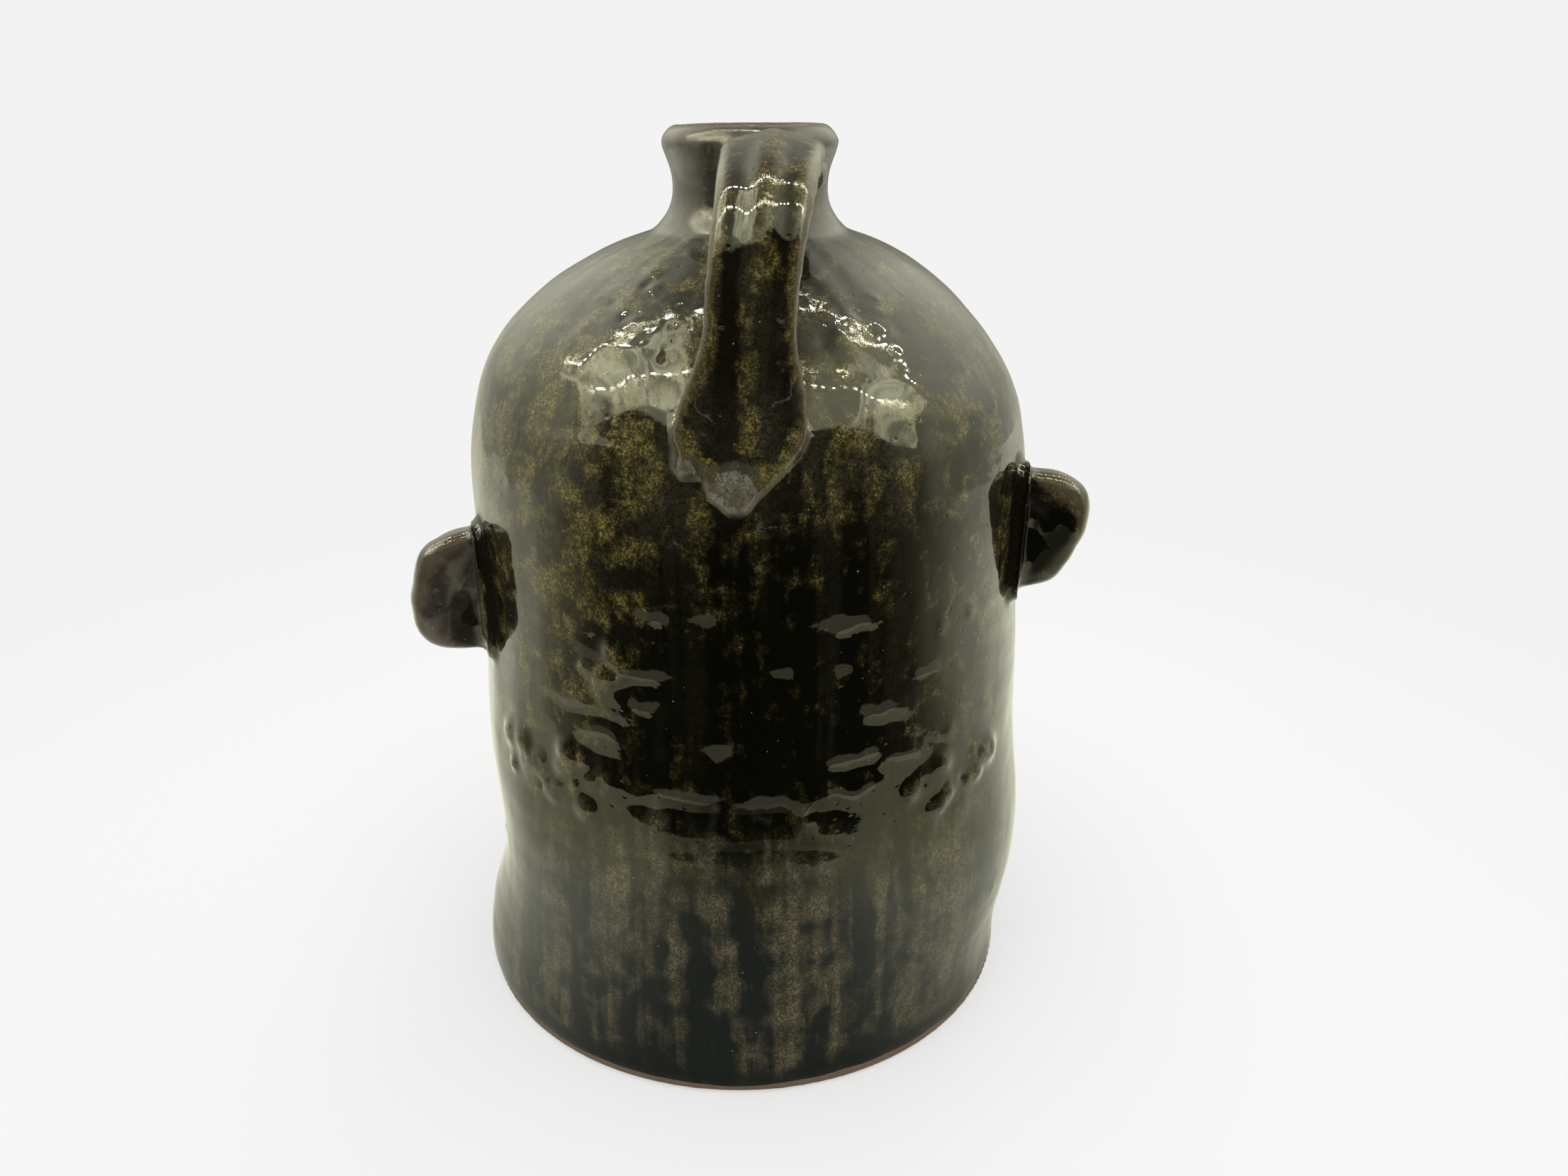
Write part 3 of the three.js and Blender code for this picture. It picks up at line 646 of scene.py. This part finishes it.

# %% [markdown]
# ## What the glaze needs to know
# A glaze looks different in a hollow, on an edge and where little of it was put on. A painted
# mask would need an unwrapped map. Here five numbers are stored at each point: how much gold it
# favours, how far the glaze pools in a hollow or thins on an edge, where it was put on thinly,
# where it is pale (a dry crust on the islands and the tail, and a painted highlight on the glassy
# drop), and how high the point is above the bare foot.

# %% Numbers for the glaze
DRIPS = [  # ear, out from the wall, above its middle, half width, half height
    (LEFT_EAR, 8.5, -3, 3, 5), (LEFT_EAR, 8, -10, 3.6, 4.5), (LEFT_EAR, 3, -14, 3.5, 3.5),
    (RIGHT_EAR, 5, -4, 2.6, 6.5), (RIGHT_EAR, 13, 4, 3.4, 4), (RIGHT_EAR, 11, -5, 3, 4),
]


def behind_ear(ear, reach, up):
    base, out, toward_face = ear_frame(*ear)
    return base + out * reach + np.array([0, 0, up]) - EAR_THICK / 2 * toward_face


drips = np.zeros(len(skin))
for ear, reach, up, wide, tall in DRIPS:
    gap = skin - behind_ear(ear, reach, up)
    drips += np.exp(-(gap[:, 0] ** 2 + gap[:, 1] ** 2) / wide ** 2 - (gap[:, 2] / tall) ** 2)
drips = ears * np.clip(1.4 * drips, 0, 1)
from_back = (azimuth + 360) % 360 - 180
beside = 1 - np.exp(-(from_back / 40) ** 2)
core = body_share * (1 - beside) * smooth(height, 74, 88) * (1 - smooth(height, 160, 196))
mid_strap = smooth(height, 196, 212) - smooth(height, 246, 256)
left_shoulder = np.exp(-((from_back + 38) / 18) ** 2 - ((height - 165) / 24) ** 2)
gold_bias = 0.03 * beside * smooth(height, 92, 120) * (1 - smooth(height, 185, 205))
gold_bias -= 0.07 * core + strap_share * (0.006 + 0.032 * mid_strap) + 0.08 * right_ear
gold_bias += body_share * (0.05 * left_shoulder - 0.025 * smooth(from_back, 8, 36))
thin_ears = (0.95 * left_ear + 0.4 * right_ear) * (1 - drips)
attributes = {
    "gold_bias": gold_bias,
    "pool": pool + 0.9 * drips,
    "thin": np.clip(share_of["neck_collar"] + thin_ears, 0, 1),
    # pale: dry crust on the islands and the tail, and a painted highlight on the glassy drop
    "pale": 0.7 * islands + smears + body_share * bumps(drop, (1.4, 1.0), (1.3, 0.4)),
    "above_line": height - glaze_line,
}
print("stored at each point:", list(attributes))

# %% [markdown]
# ## Pieces of the skin
# Each piece takes its own faces out of the skin and keeps the normals of the whole sheet, so no
# seam shows. The body is hollow, so it also gets a turned lining, which is seen down the bore. A
# solidify modifier would copy every wart inside.

# %% Lining of the body
FLOOR, CORNER = 9, 14
LINING = {"pool": 0.1, "above_line": 40.0}
corner_top = FLOOR + CORNER
reach = wall_radius(corner_top) - WALL - CORNER
lining = [(BORE + 0.6, SEAT + 1)]
lining += dome_profile(SHOULDER - WALL, DOME_RISE - WALL, BORE, 24)[::-1]
lining += [(wall_radius(z) - WALL, z) for z in np.linspace(158, corner_top, 28)]
lining += [(reach + CORNER * math.cos(a), corner_top - CORNER * math.sin(a))
           for a in np.radians(np.linspace(15, 90, 6))]
lining += [(r, FLOOR) for r in (50, 35, 20, 8, 0.4)]
lining_rings = thrown(turned(lining, 96))
lining_points = lining_rings.reshape(-1, 3)
lining_faces = ring_faces(*lining_rings.shape[:2])
lining_normals = outward(lining_points, lining_faces)
print("lining:", len(lining_points), "points")

# %% Cut the skin into pieces
def add_piece(name, mesh, slot_name, *nodes):
    piece = bpy.data.objects.new(name, mesh)
    scene.collection.objects.link(piece)
    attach(piece, "root")
    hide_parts(*nodes)
    return piece


def store(mesh, values):
    for name, numbers in values.items():
        held = mesh.attributes.new(name, "FLOAT", "POINT")
        held.data.foreach_set("value", np.asarray(numbers, np.float32))


in_bore = np.hypot(skin[:, 0] - LEAN * SEAT, skin[:, 1]) < BORE + 2
well_floor = (in_bore & (height < SEAT - 8) & (height > 150))[quads].all(1)
face_piece = piece_of[quads[:, 0]]
glazed = {}
for label, name in enumerate(names):
    own = quads[(face_piece == label) & ~well_floor]
    used, local = np.unique(own, return_inverse=True)
    points, normals, faces = skin[used], normal[used], local.reshape(-1, 4)
    own_values = {key: values[used] for key, values in attributes.items()}
    if name == "jug_body":
        faces = np.vstack([faces, lining_faces + len(points)])
        points = np.vstack([points, lining_points])
        normals = np.vstack([normals, lining_normals])
        for key, values in own_values.items():
            own_values[key] = np.r_[values, np.full(len(lining_points), LINING.get(key, 0.0))]
    mesh = raw_mesh(name + "_glazed", points, faces.tolist())
    mesh.normals_split_custom_set_from_vertices(normals.tolist())
    store(mesh, own_values)
    slot_name = "thin_glaze" if name == "neck_collar" else "ash_glaze"
    glazed[name] = add_piece(name + "_glazed", mesh, slot_name, name)
print("glazed pieces:", len(glazed))

# %% [markdown]
# ## Eyes and teeth
# The eyeballs and teeth are lumps of white clay, pressed on and left without the dark glaze. The
# eyeball is an oval dome. The teeth are small hand-cut blocks, each a little different, and a
# subdivision surface rounds them, which is quicker than modelling each edge.

# %% Eyeballs
EYE_RISE, EYE_SUNK = 9.2, 3.0
white_pieces = []
lift = np.radians(np.linspace(4, 88, 26))
size = np.r_[1.0, 1.0, np.cos(lift)][:, None]
stand = np.r_[-EYE_SUNK, -0.5, EYE_RISE * np.sin(lift)][:, None]
angle = np.linspace(0, 2 * np.pi, 64, endpoint=False)
along = EYE_SPREAD + size * EYE_WIDE * np.cos(angle)
up = EYE_HEIGHT + size * EYE_TALL * np.sin(angle)
from_pupil = np.hypot(along - EYE_SPREAD + 1.5, (up - EYE_HEIGHT) * 1.05)
for side, name in ((1, "left_eyeball"), (-1, "right_eyeball")):
    add_clay(name, on_face(side * along, up, stand + 0 * angle))
    points, faces = clay[name][0]
    wobble = lattice_noise(points, 9, 31)[:, None] * 0.25
    mesh = raw_mesh(name + "_white", points + wobble * np.array([0, -1, 0]), faces)
    store(mesh, {"from_pupil": from_pupil.ravel(), "from_edge": (size + 0 * angle).ravel()})
    white_pieces.append(add_piece(name + "_white", mesh, "white_clay", name))
print("eyeballs:", [o.name for o in white_pieces])

# %% Teeth
TOOTH, TOOTH_GAP, TOOTH_RISE, UNEVEN = 9, 0.6, 5.4, 0.5
TOOTH_RINGS = ((1, -0.4), (1, 0.1), (1, 0.6), (0.93, 0.9), (0.55, 1.0))  # size, share of rise
for row, sign, open_by in MOUTH_ROWS:
    for i in range(6):
        left = (i - 3) * TOOTH + TOOTH_GAP / 2 + rng.uniform(0, UNEVEN)
        right = (i - 2) * TOOTH - TOOTH_GAP / 2 - rng.uniform(0, UNEVEN)
        bite = MOUTH_HEIGHT + sign * (TOOTH_GAP / 2 + rng.uniform(0, UNEVEN))
        tip = [MOUTH_HEIGHT + sign * (mouth_edge(x, open_by) + 1.2) for x in (left, right)]
        corners = np.array([(left, bite), (right, bite), (right, tip[1]), (left, tip[0])])
        cut = [between(corners, np.roll(corners, step, 0), 0.2) for step in (1, -1)]
        outline, centre = np.stack(cut, 1).reshape(-1, 2), corners.mean(0)
        proud = TOOTH_RISE * rng.uniform(0.9, 1.05)
        rings = []
        for scale, share in TOOTH_RINGS:
            flat = centre + (outline - centre) * scale
            rings.append(on_face(flat[:, 0], flat[:, 1], np.full(8, share * proud + JOINT)))
        name = f"{row}_tooth_{i + 1}"
        add_clay(name, rings)
        mesh = raw_mesh(name + "_white", *clay[name][0])
        from_edge = np.repeat((1, 0.9, 0.75, 0.5, 0.2), 8)
        store(mesh, {"from_pupil": np.full(len(from_edge), 50.0), "from_edge": from_edge})
        piece = add_piece(name + "_white", mesh, "white_clay", name)
        rounder = piece.modifiers.new("rounder", "SUBSURF")
        rounder.levels = rounder.render_levels = 2
        white_pieces.append(piece)
print("white pieces:", len(white_pieces))

# %% [markdown]
# ## Writing materials as sums
# A glaze is easier to read as arithmetic than as a drawing of nodes. The class Flow wraps a node's
# output socket, and a sum of flows adds a Math node. Every other node comes from one method,
# which takes the node's type, its settings and what its sockets are given.

# %% Flow
class Flow:
    def __init__(self, finish, socket):
        self.finish, self.socket = finish, socket

    def beside(self, output):
        return Flow(self.finish, self.socket.node.outputs[output])

    def ramp(self, start, end):
        return self.finish.node("ShaderNodeMapRange", {"interpolation_type": "SMOOTHSTEP"},
                                {"Value": self, "From Min": start, "From Max": end})

    def __add__(self, other):
        return maths("ADD", self, other)

    def __radd__(self, other):
        return maths("ADD", other, self)

    def __sub__(self, other):
        return maths("SUBTRACT", self, other)

    def __rsub__(self, other):
        return maths("SUBTRACT", other, self)

    def __mul__(self, other):
        return maths("MULTIPLY", self, other)

    def __rmul__(self, other):
        return maths("MULTIPLY", other, self)

    def __truediv__(self, other):
        return maths("DIVIDE", self, other)

    def __pow__(self, other):
        return maths("POWER", self, other)


def maths(operation, *values):
    finish = next(value.finish for value in values if isinstance(value, Flow))
    inputs = dict(zip(("Value", "Value_001"), values))
    return finish.node("ShaderNodeMath", {"operation": operation}, inputs)


print("sums of sockets ready")

# %% Finish
class Finish:
    def __init__(self, name):
        self.material = bpy.data.materials.new(name)
        self.material.use_nodes = True
        self.tree = self.material.node_tree
        self.tree.nodes.clear()

    def node(self, kind, settings, inputs, output=0):
        node = self.tree.nodes.new(kind)
        for key, value in settings.items():
            setattr(node, key, value)
        for key, value in inputs.items():
            slot = next(s for s in node.inputs if key in (s.identifier, s.name))
            if isinstance(value, Flow):
                self.tree.links.new(value.socket, slot)
            else:
                slot.default_value = (*value, 1) if slot.type == "RGBA" else value
        return Flow(self, node.outputs[output]) if node.outputs else None

    def place(self):
        return self.node("ShaderNodeTexCoord", {}, {}, "Object")

    def attribute(self, name):
        return self.node("ShaderNodeAttribute", {"attribute_name": name}, {}, "Fac")

    def noise(self, place, size, detail=2.0, rough=0.5, distort=0.0, stretch=None, shift=(0, 0, 0)):
        if stretch:
            place = self.node("ShaderNodeVectorMath", {"operation": "MULTIPLY_ADD"},
                              {"Vector": place, "Vector_001": stretch, "Vector_002": shift})
        return self.node("ShaderNodeTexNoise", {}, {
            "Vector": place, "Scale": 1 / (size * MM), "Detail": detail,
            "Roughness": rough, "Distortion": distort})

    def layers(self, under, *coats):
        """Coats of paint, each a share and a colour, over what lies under them."""
        for share, coat in coats:
            under = self.node("ShaderNodeMix", {"data_type": "RGBA"},
                              {"Factor_Float": share, "A_Color": under, "B_Color": coat}, 2)
        return under

    def bump(self, relief, strength, distance, **more):
        return self.node("ShaderNodeBump", {}, {
            "Height": relief, "Strength": strength, "Distance": distance * MM, **more})

    def glowing(self, light, chalk=(0, 0, 0)):
        """A dull surface that gives its own light."""
        return self.node("ShaderNodeBsdfPrincipled", {}, {
            "Base Color": chalk, "Roughness": 1.0, "Specular IOR Level": 0.0,
            "Emission Color": light, "Emission Strength": 1.0})

    def lit(self, tint, strength):
        return self.glowing(self.node("ShaderNodeVectorMath", {"operation": "SCALE"},
                                      {"Vector": tint, "Scale": strength}))

    def cover(self, surface, *pieces):
        """Close the material and put it on the pieces."""
        self.node("ShaderNodeOutputMaterial", {}, {"Surface": surface})
        for piece in pieces:
            piece.data.materials.append(self.material)
        print(self.material.name, len(self.tree.nodes), "nodes on", len(pieces), "pieces")


print("finishes ready")

# %% [markdown]
# ## Ash glaze
# Wood ash and clay melt to a dark olive glass that runs. It is nearly black where it is thick,
# dusted with gold where it breaks, brown where it is thin, and streaked tan and teal near the
# foot. A picture of a glaze would stretch on the dome, so it is built from noise: long upright
# strips, rounded clumps, level bands that follow the finger ridges, and fine grains that turn
# each field of colour into dust. The gloss is left to the shader and the light, except for
# painted glints on the pinholes and a painted highlight on one glassy drop.

# %% Noise of the glaze
glaze = Finish("ash_glaze")
place = glaze.place()
tall = glaze.node("ShaderNodeSeparateXYZ", {}, {"Vector": place}, "Z") * (1 / MM)
runs = glaze.noise(place, 9, 3, 0.6, 0.3, (1, 1, 0.085))
strips = glaze.noise(place, 9, 3, 0.55, 0.3, (1, 1, 0.06), (0.7, 0.4, 0.2))
bands = glaze.noise(place, 7, 2, 0.5, 0.4, (0.2, 0.2, 1))
clumps = glaze.noise(place, 7, 2, 0.5, 0.5, (1, 1, 0.8))
throwing = glaze.noise(place, 2.4, 3, 0.6, 0.2, (0.12, 0.12, 1))
clouds = glaze.noise(place, 48, 2)
fleck = glaze.noise(place, 2.0, 4, 0.7)
dust = glaze.noise(place, 0.6, 3, 0.65)
grains = 0.6 * dust + 0.4 * fleck
pool_here, gold_here, thin_here, crust_and_highlight_here, above_line = (
    glaze.attribute(name) for name in ("pool", "gold_bias", "thin", "pale", "above_line"))
print("glaze noise:", len(glaze.tree.nodes), "nodes")

# %% Dark glass and the low zone
OLIVE, VEIL, NEAR_BLACK = (0.022, 0.0192, 0.0104), (0.037, 0.032, 0.0205), (0.0012, 0.0012, 0.0006)
DEEP_BLACK, BETWEEN_GRAINS = (0.0014, 0.0014, 0.0007), (0.002, 0.0019, 0.001)
TEAL, TAN = (0.0056, 0.0086, 0.008), (0.15, 0.126, 0.067)
deep = (0 - gold_here).ramp(0.01, 0.08)
thick = strips + 0.2 * (clumps - 0.5) + 0.3 * pool_here - 2 * gold_here
thick = thick.ramp(0.44, 0.62)
veil = (clouds + 0.35 * (clumps - 0.5)).ramp(0.44, 0.62)
tan_field = 0.5 * strips + 0.3 * clumps + 0.2 * runs + 0.12 * (fleck - 0.5) + 0.3 * pool_here
tan_share = tan_field.ramp(0.54, 0.38) * (0.2 + 1.1 * grains.ramp(0.42, 0.68))
low_zone = (tall + 40 * (clumps - 0.5) + 50 * (runs - 0.5)).ramp(94, 60)
mixed = glaze.layers(
    OLIVE, (thick * (0.5 + 0.5 * deep), NEAR_BLACK), (0.4 * veil * (1 - thick), VEIL),
    (0.88 * deep, DEEP_BLACK), (0.7 * grains.ramp(0.56, 0.4), BETWEEN_GRAINS),
    (low_zone, glaze.layers(TEAL, (tan_share, TAN))))
print("dark glass:", len(glaze.tree.nodes), "nodes")

# %% Gold dust
GOLD, SPARK = (0.172, 0.139, 0.038), (0.5, 0.44, 0.2)
upright = 0.1 + 0.3 * deep
gold_share = (0.74 - upright) * clumps + upright * runs + 0.14 * bands + 0.12 * fleck
gold_share = gold_share - 0.25 * pool_here + gold_here
gold_field = gold_share.ramp(0.46, 0.64) * (tall + 40 * (runs - 0.5)).ramp(68, 106)
gold_dust = gold_field * (1 - 0.4 * deep) * (0.15 + 1.15 * grains.ramp(0.45, 0.66))
sparkle = gold_dust * glaze.noise(place, 0.9, 1).ramp(0.68, 0.75)
mixed = glaze.layers(mixed, (gold_dust, GOLD), (0.7 * sparkle, SPARK))
print("gold:", len(glaze.tree.nodes), "nodes")

# %% Thin glaze, crust with a painted highlight, and worn edges
BROWN, DARK_BROWN, BROWN_FLECK = (0.08, 0.067, 0.05), (0.028, 0.0235, 0.018), (0.13, 0.105, 0.075)
# The pale colours here are a dry crust, and on the glassy drop a painted highlight.
DRY_CRUST_AND_HIGHLIGHT, DARK_CRUST_AND_HIGHLIGHT, CRUST_AND_HIGHLIGHT = (0.05, 0.046, 0.031), (0.05, 0.047, 0.033), (0.17, 0.16, 0.118)
WORN = (0.085, 0.067, 0.042)
neck_here = tall.ramp(228, 236)
lines = neck_here * (0.35 * throwing + 0.65 * runs) + (1 - neck_here) * clumps
brown = glaze.layers(BROWN, (lines.ramp(0.38, 0.62), DARK_BROWN),
                     (0.5 * fleck.ramp(0.52, 0.68), BROWN_FLECK))
crust_and_highlight = glaze.layers(DARK_CRUST_AND_HIGHLIGHT, (grains.ramp(0.4, 0.6), CRUST_AND_HIGHLIGHT))
# Pale coats: dry crust on the islands and the tail, and a painted highlight on the glassy drop.
mixed = glaze.layers(
    mixed, ((thin_here + 0.6 * (clumps - 0.5)).ramp(0.3, 0.75), brown),
    (0.7 * (crust_and_highlight_here + 0.4 * (fleck - 0.5)).ramp(0.36, 0.46), DRY_CRUST_AND_HIGHLIGHT),
    (0.9 * (crust_and_highlight_here + 1.2 * (fleck - 0.5)).ramp(0.85, 1.0), crust_and_highlight),
    (0.65 * (0 - pool_here).ramp(0.3, 0.9), WORN))
print("thin glaze:", len(glaze.tree.nodes), "nodes")

# %% Rolled edge, painted pinhole glints and bare clay
# The pale speck colour is a painted glint: light dots on the pinholes stand in for their
# highlights.
ROLLED, PINHOLE_GLINT = (0.0028, 0.0054, 0.0054), (0.42, 0.39, 0.3)
BARE_DARK, BARE_PALE = (0.1, 0.06, 0.036), (0.24, 0.155, 0.095)
rolled = (above_line + 12 * (clumps - 0.5) + 8 * (runs - 0.5)).ramp(8, 4)
specks = glaze.node("ShaderNodeTexVoronoi", {}, {"Vector": place, "Scale": 1 / (3.4 * MM)})
chosen = glaze.node("ShaderNodeSeparateColor", {}, {"Color": specks.beside("Color")})
# Painted glints: some Voronoi cells get a pale dot in place of a pinhole's highlight.
pinhole_glint = (specks / (0.3 + chosen.beside("Green"))).ramp(0.075, 0.03) * chosen.ramp(0.5, 0.54)
grain = glaze.noise(place, 0.9, 4, 0.7)
bare = above_line.ramp(0.25, -0.25)
mixed = glaze.layers(mixed, (0.9 * rolled, ROLLED), (0.6 * pinhole_glint, PINHOLE_GLINT),
                     (bare, glaze.layers(BARE_DARK, (grain, BARE_PALE))))
print("edges and specks:", len(glaze.tree.nodes), "nodes")

# %% Gloss and fine relief
pinholes = specks.ramp(0.26, 0.08) * chosen.ramp(0.45, 0.4)
fine_relief = 0.22 * glaze.noise(place, 3.4, 2, 0.5) + 0.1 * gold_dust * dust - 0.4 * pinholes
glassy_bump = glaze.bump(fine_relief, 1.0, 0.1)
clay_bump = glaze.bump(grain * bare, 0.8, 0.35, Normal=glassy_bump)
dull_neck = neck_here * thin_here.ramp(0.2, 0.9) * clumps
rough = 0.012 + 0.03 * clouds + 0.03 * gold_dust + 0.34 * dull_neck + 0.65 * bare
glass = glaze.node("ShaderNodeBsdfPrincipled", {}, {
    "Base Color": mixed, "Roughness": rough, "IOR": 1.52, "Normal": clay_bump})
glaze.cover(glass, *glazed.values())

# %% [markdown]
# ## White clay
# The eyes and teeth are white clay under a thin clear glaze, with hair-fine crackle and a tint of
# olive where the dark glaze ran against them. The pupil was brushed on in dark slip. It is painted
# by the distance from its middle, which the eyeball stores, so no picture is needed.

# %% White clay material
CREAM, WHITE, CRACK = (0.5, 0.43, 0.3), (0.7, 0.64, 0.5), (0.2, 0.15, 0.08)
STAIN, IRIS, PUPIL = (0.1, 0.085, 0.035), (0.055, 0.028, 0.012), (0.006, 0.005, 0.004)
white = Finish("white_clay")
white_place = white.place()
cloud = white.noise(white_place, 7, 3, 0.6)
brush = white.noise(white_place, 2.2, 3, 0.6)
hair = white.node("ShaderNodeTexVoronoi", {"feature": "DISTANCE_TO_EDGE"},
                  {"Vector": white_place, "Scale": 1 / (5.5 * MM)})
crackle = hair.ramp(0.035, 0.0)
stain = (white.attribute("from_edge") + 0.25 * (cloud - 0.5)).ramp(0.72, 1.0)
pupil_here = white.attribute("from_pupil")
iris = (pupil_here + 1.6 * (brush - 0.5)).ramp(5.4, 4.6)
pupil = (pupil_here + 1.2 * (brush - 0.5)).ramp(3.0, 2.5)
body = white.layers(CREAM, (cloud, WHITE), (0.45 * crackle, CRACK), (0.75 * stain, STAIN),
                    (iris, IRIS), (pupil, PUPIL))
white_glass = white.node("ShaderNodeBsdfPrincipled", {}, {
    "Base Color": body, "Roughness": 0.14 + 0.2 * cloud, "IOR": 1.5,
    "Normal": white.bump(cloud + 0.4 * brush - 0.3 * crackle, 0.5, 0.2)})
white.cover(white_glass, *white_pieces)

# %% [markdown]
# ## Floor and light
# The jug stands on a plain pale floor in even, soft light. Two broad lamps shape the white clay.
# Away from the jug the floor fades to the tone of the backdrop, so no horizon shows.

# %% Floor and backdrop
PALE, NEAR_GLOW = (0.896, 0.896, 0.896), (0.54, 0.54, 0.54)
ROUND = 96


def add_stage(name, points, faces):
    piece = bpy.data.objects.new(name, raw_mesh(name, points, faces))
    scene.collection.objects.link(piece)
    return piece


floor = add_stage("floor", turned([(6000, 0)], ROUND)[0], [list(range(ROUND))])
plaster = Finish("floor_plaster")
floor_place = plaster.place()
tone = plaster.noise(floor_place, 400, 2)
plaster_colour = plaster.layers((0.33, 0.33, 0.33), (tone, (0.36, 0.36, 0.36)))
distance = plaster.node("ShaderNodeVectorMath", {"operation": "LENGTH"},
                        {"Vector": floor_place}, "Value")
fade = plaster.node("ShaderNodeMixShader", {}, {
    "Fac": distance.ramp(0.16, 0.5),
    "Shader": plaster.glowing(NEAR_GLOW, plaster_colour), "Shader_001": plaster.glowing(PALE)})
plaster.cover(fade, floor)
screen = turned([(5000, -100), (5000, 6000)], ROUND)
backdrop = add_stage("backdrop", screen.reshape(-1, 3), ring_faces(2, ROUND).tolist())
backdrop.visible_diffuse = backdrop.visible_glossy = backdrop.visible_shadow = False
paper = Finish("backdrop_paper")
paper.cover(paper.glowing(PALE), backdrop)

# %% Sky and lamps
LAMPS = [("lamp_above", (0, 0.3, 2.2), 2.0, 36), ("lamp_front", (-0.6, -1.3, 0.9), 0.8, 4)]
sky = bpy.data.worlds.new("even_light")
sky.use_nodes = True
sky.node_tree.nodes["Background"].inputs["Color"].default_value = (0.55, 0.55, 0.55, 1)
scene.world = sky
for name, spot, size, power in LAMPS:
    lamp = bpy.data.objects.new(name, bpy.data.lights.new(name, "AREA"))
    lamp.data.size, lamp.data.energy = size, power
    lamp.location = spot
    aim = Vector((0, 0, 0.1)) - lamp.location
    lamp.rotation_euler = aim.to_track_quat("-Z", "Y").to_euler()
    scene.collection.objects.link(lamp)
    lamp.visible_glossy = False
print("sky and", len(LAMPS), "lamps")

# %% [markdown]
# ## The room that the glaze mirrors
# In a studio, black cards and bright windows are set round a glossy pot, because a mirror shows
# whatever stands around it. A dome does that here: only glossy rays see it. It is dark behind the
# camera, pale at the sides and bright above, with two windows and two rows of small lamps. A card
# on the floor does the same for the table: pale beside the jug, and dark past its near edge.

# %% Mirror room
ROOM_RADIUS, DEGREES = 1400, 180 / math.pi


def only_mirrored(piece):
    piece.visible_camera = piece.visible_diffuse = piece.visible_shadow = False
    piece.visible_transmission = piece.visible_volume_scatter = False


lift = np.radians(np.linspace(-8, 89, 40))
shell = np.stack([ROOM_RADIUS * np.cos(lift), ROOM_RADIUS * np.sin(lift)], -1)
add_clay("mirror_room", turned(shell, ROUND))
room = add_stage("mirror_room", *clay["mirror_room"][0])
room.location = (0, 0, 0.15)
only_mirrored(room)
paint = Finish("mirror_room")
toward = paint.node("ShaderNodeVectorMath", {"operation": "NORMALIZE"}, {"Vector": paint.place()})
left = paint.node("ShaderNodeSeparateXYZ", {}, {"Vector": toward})
back, up = left.beside("Y"), left.beside("Z")
tilt = maths("ARCSINE", up) * DEGREES
swing = maths("ABSOLUTE", maths("ARCTAN2", left, back) * DEGREES)
slope = maths("ARCTAN2", up, back) * DEGREES
aside = left / (1 - left * left) ** 0.5
wavy = 10 * (paint.noise(toward, 260, 2) - 0.5)
walls = 0.75 + 0.75 * tilt.ramp(0, 26) + 0.35 * tilt.ramp(24, 40) - 0.85 * tilt.ramp(50, 66)
walls = walls * (0.32 + 0.8 * maths("ABSOLUTE", aside).ramp(0.12, 0.55))
behind = (swing + wavy).ramp(82, 52) * (tilt + 0.4 * wavy).ramp(33, 30.5)
facing = (swing + wavy).ramp(128, 150) * (tilt + wavy).ramp(24, 12)
walls = walls * (1 - 0.98 * behind) * (1 - 0.15 * facing)
print("mirror room walls:", len(paint.tree.nodes), "nodes")

# %% Windows and small lamps
def within(value, low, high, soft):
    return value.ramp(low - soft, low) * value.ramp(high + soft, high)


def window(sides, slopes, strength, soft=2.5):
    return strength * within(aside, *sides, 0.04) * within(slope, *slopes, soft)


streaky = paint.noise(toward, 330, 3, stretch=(9, 1, 1))
windows = window((0.36, 1.6), (44, 92), 3.0) + window((-1.9, -0.78), (40, 88), 2.6)
windows = windows * (1.7 * streaky.ramp(0.3, 0.7) + 0.2)
rows = window((-1.3, 1.3), (65, 66.2), 80, 0.4) + window((-1.3, 1.3), (97, 98.2), 80, 0.4)
beads = maths("SINE", aside * 55).ramp(0.0, 0.6)
room_tint = paint.layers((1, 0.98, 0.66), (swing.ramp(80, 120), (1, 0.995, 0.8)))
paint.cover(paint.lit(room_tint, walls + windows + rows * beads), room)

# %% Floor card
CARD = 1300
TABLE_EDGE, EDGE_SOFT, WIDER_BESIDE = 0.243, 0.006, 0.07
corners = [(-CARD, -CARD, 1), (CARD, -CARD, 1), (CARD, CARD, 1), (-CARD, CARD, 1)]
card = add_stage("floor_card", corners, [(0, 1, 2, 3)])
only_mirrored(card)
shade = Finish("floor_card")
card_x = shade.node("ShaderNodeSeparateXYZ", {}, {"Vector": shade.place()})
card_y = card_x.beside("Y")
sideways = maths("ABSOLUTE", card_x)
from_middle = (card_x * card_x + card_y * card_y) ** 0.5
turned_away = maths("ARCTAN2", sideways, card_y) * DEGREES
in_front = turned_away.ramp(125, 158)
reach = from_middle - WIDER_BESIDE * turned_away.ramp(12, 60)
off_table = reach.ramp(TABLE_EDGE, TABLE_EDGE + EDGE_SOFT)
near_light = 0.17 + 0.8 * sideways.ramp(0.02, 0.15)
near_light = near_light + 0.3 * turned_away.ramp(80, 120) - 0.6 * in_front
far_light = 0.02 + 0.53 * turned_away.ramp(52, 78) + 0.6 * turned_away.ramp(72, 92)
far_light = far_light + 0.25 * turned_away.ramp(90, 120) - 0.8 * in_front
table_light = near_light * (1 - off_table) + far_light * off_table
beside_jug = turned_away.ramp(65, 105)
neutral = maths("MAXIMUM", beside_jug, from_middle.ramp(0.23, 0.15))
card_tint = shade.layers((1, 0.98, 0.6), (neutral, (1, 0.99, 0.78)))
shade.cover(shade.lit(card_tint, table_light), card)
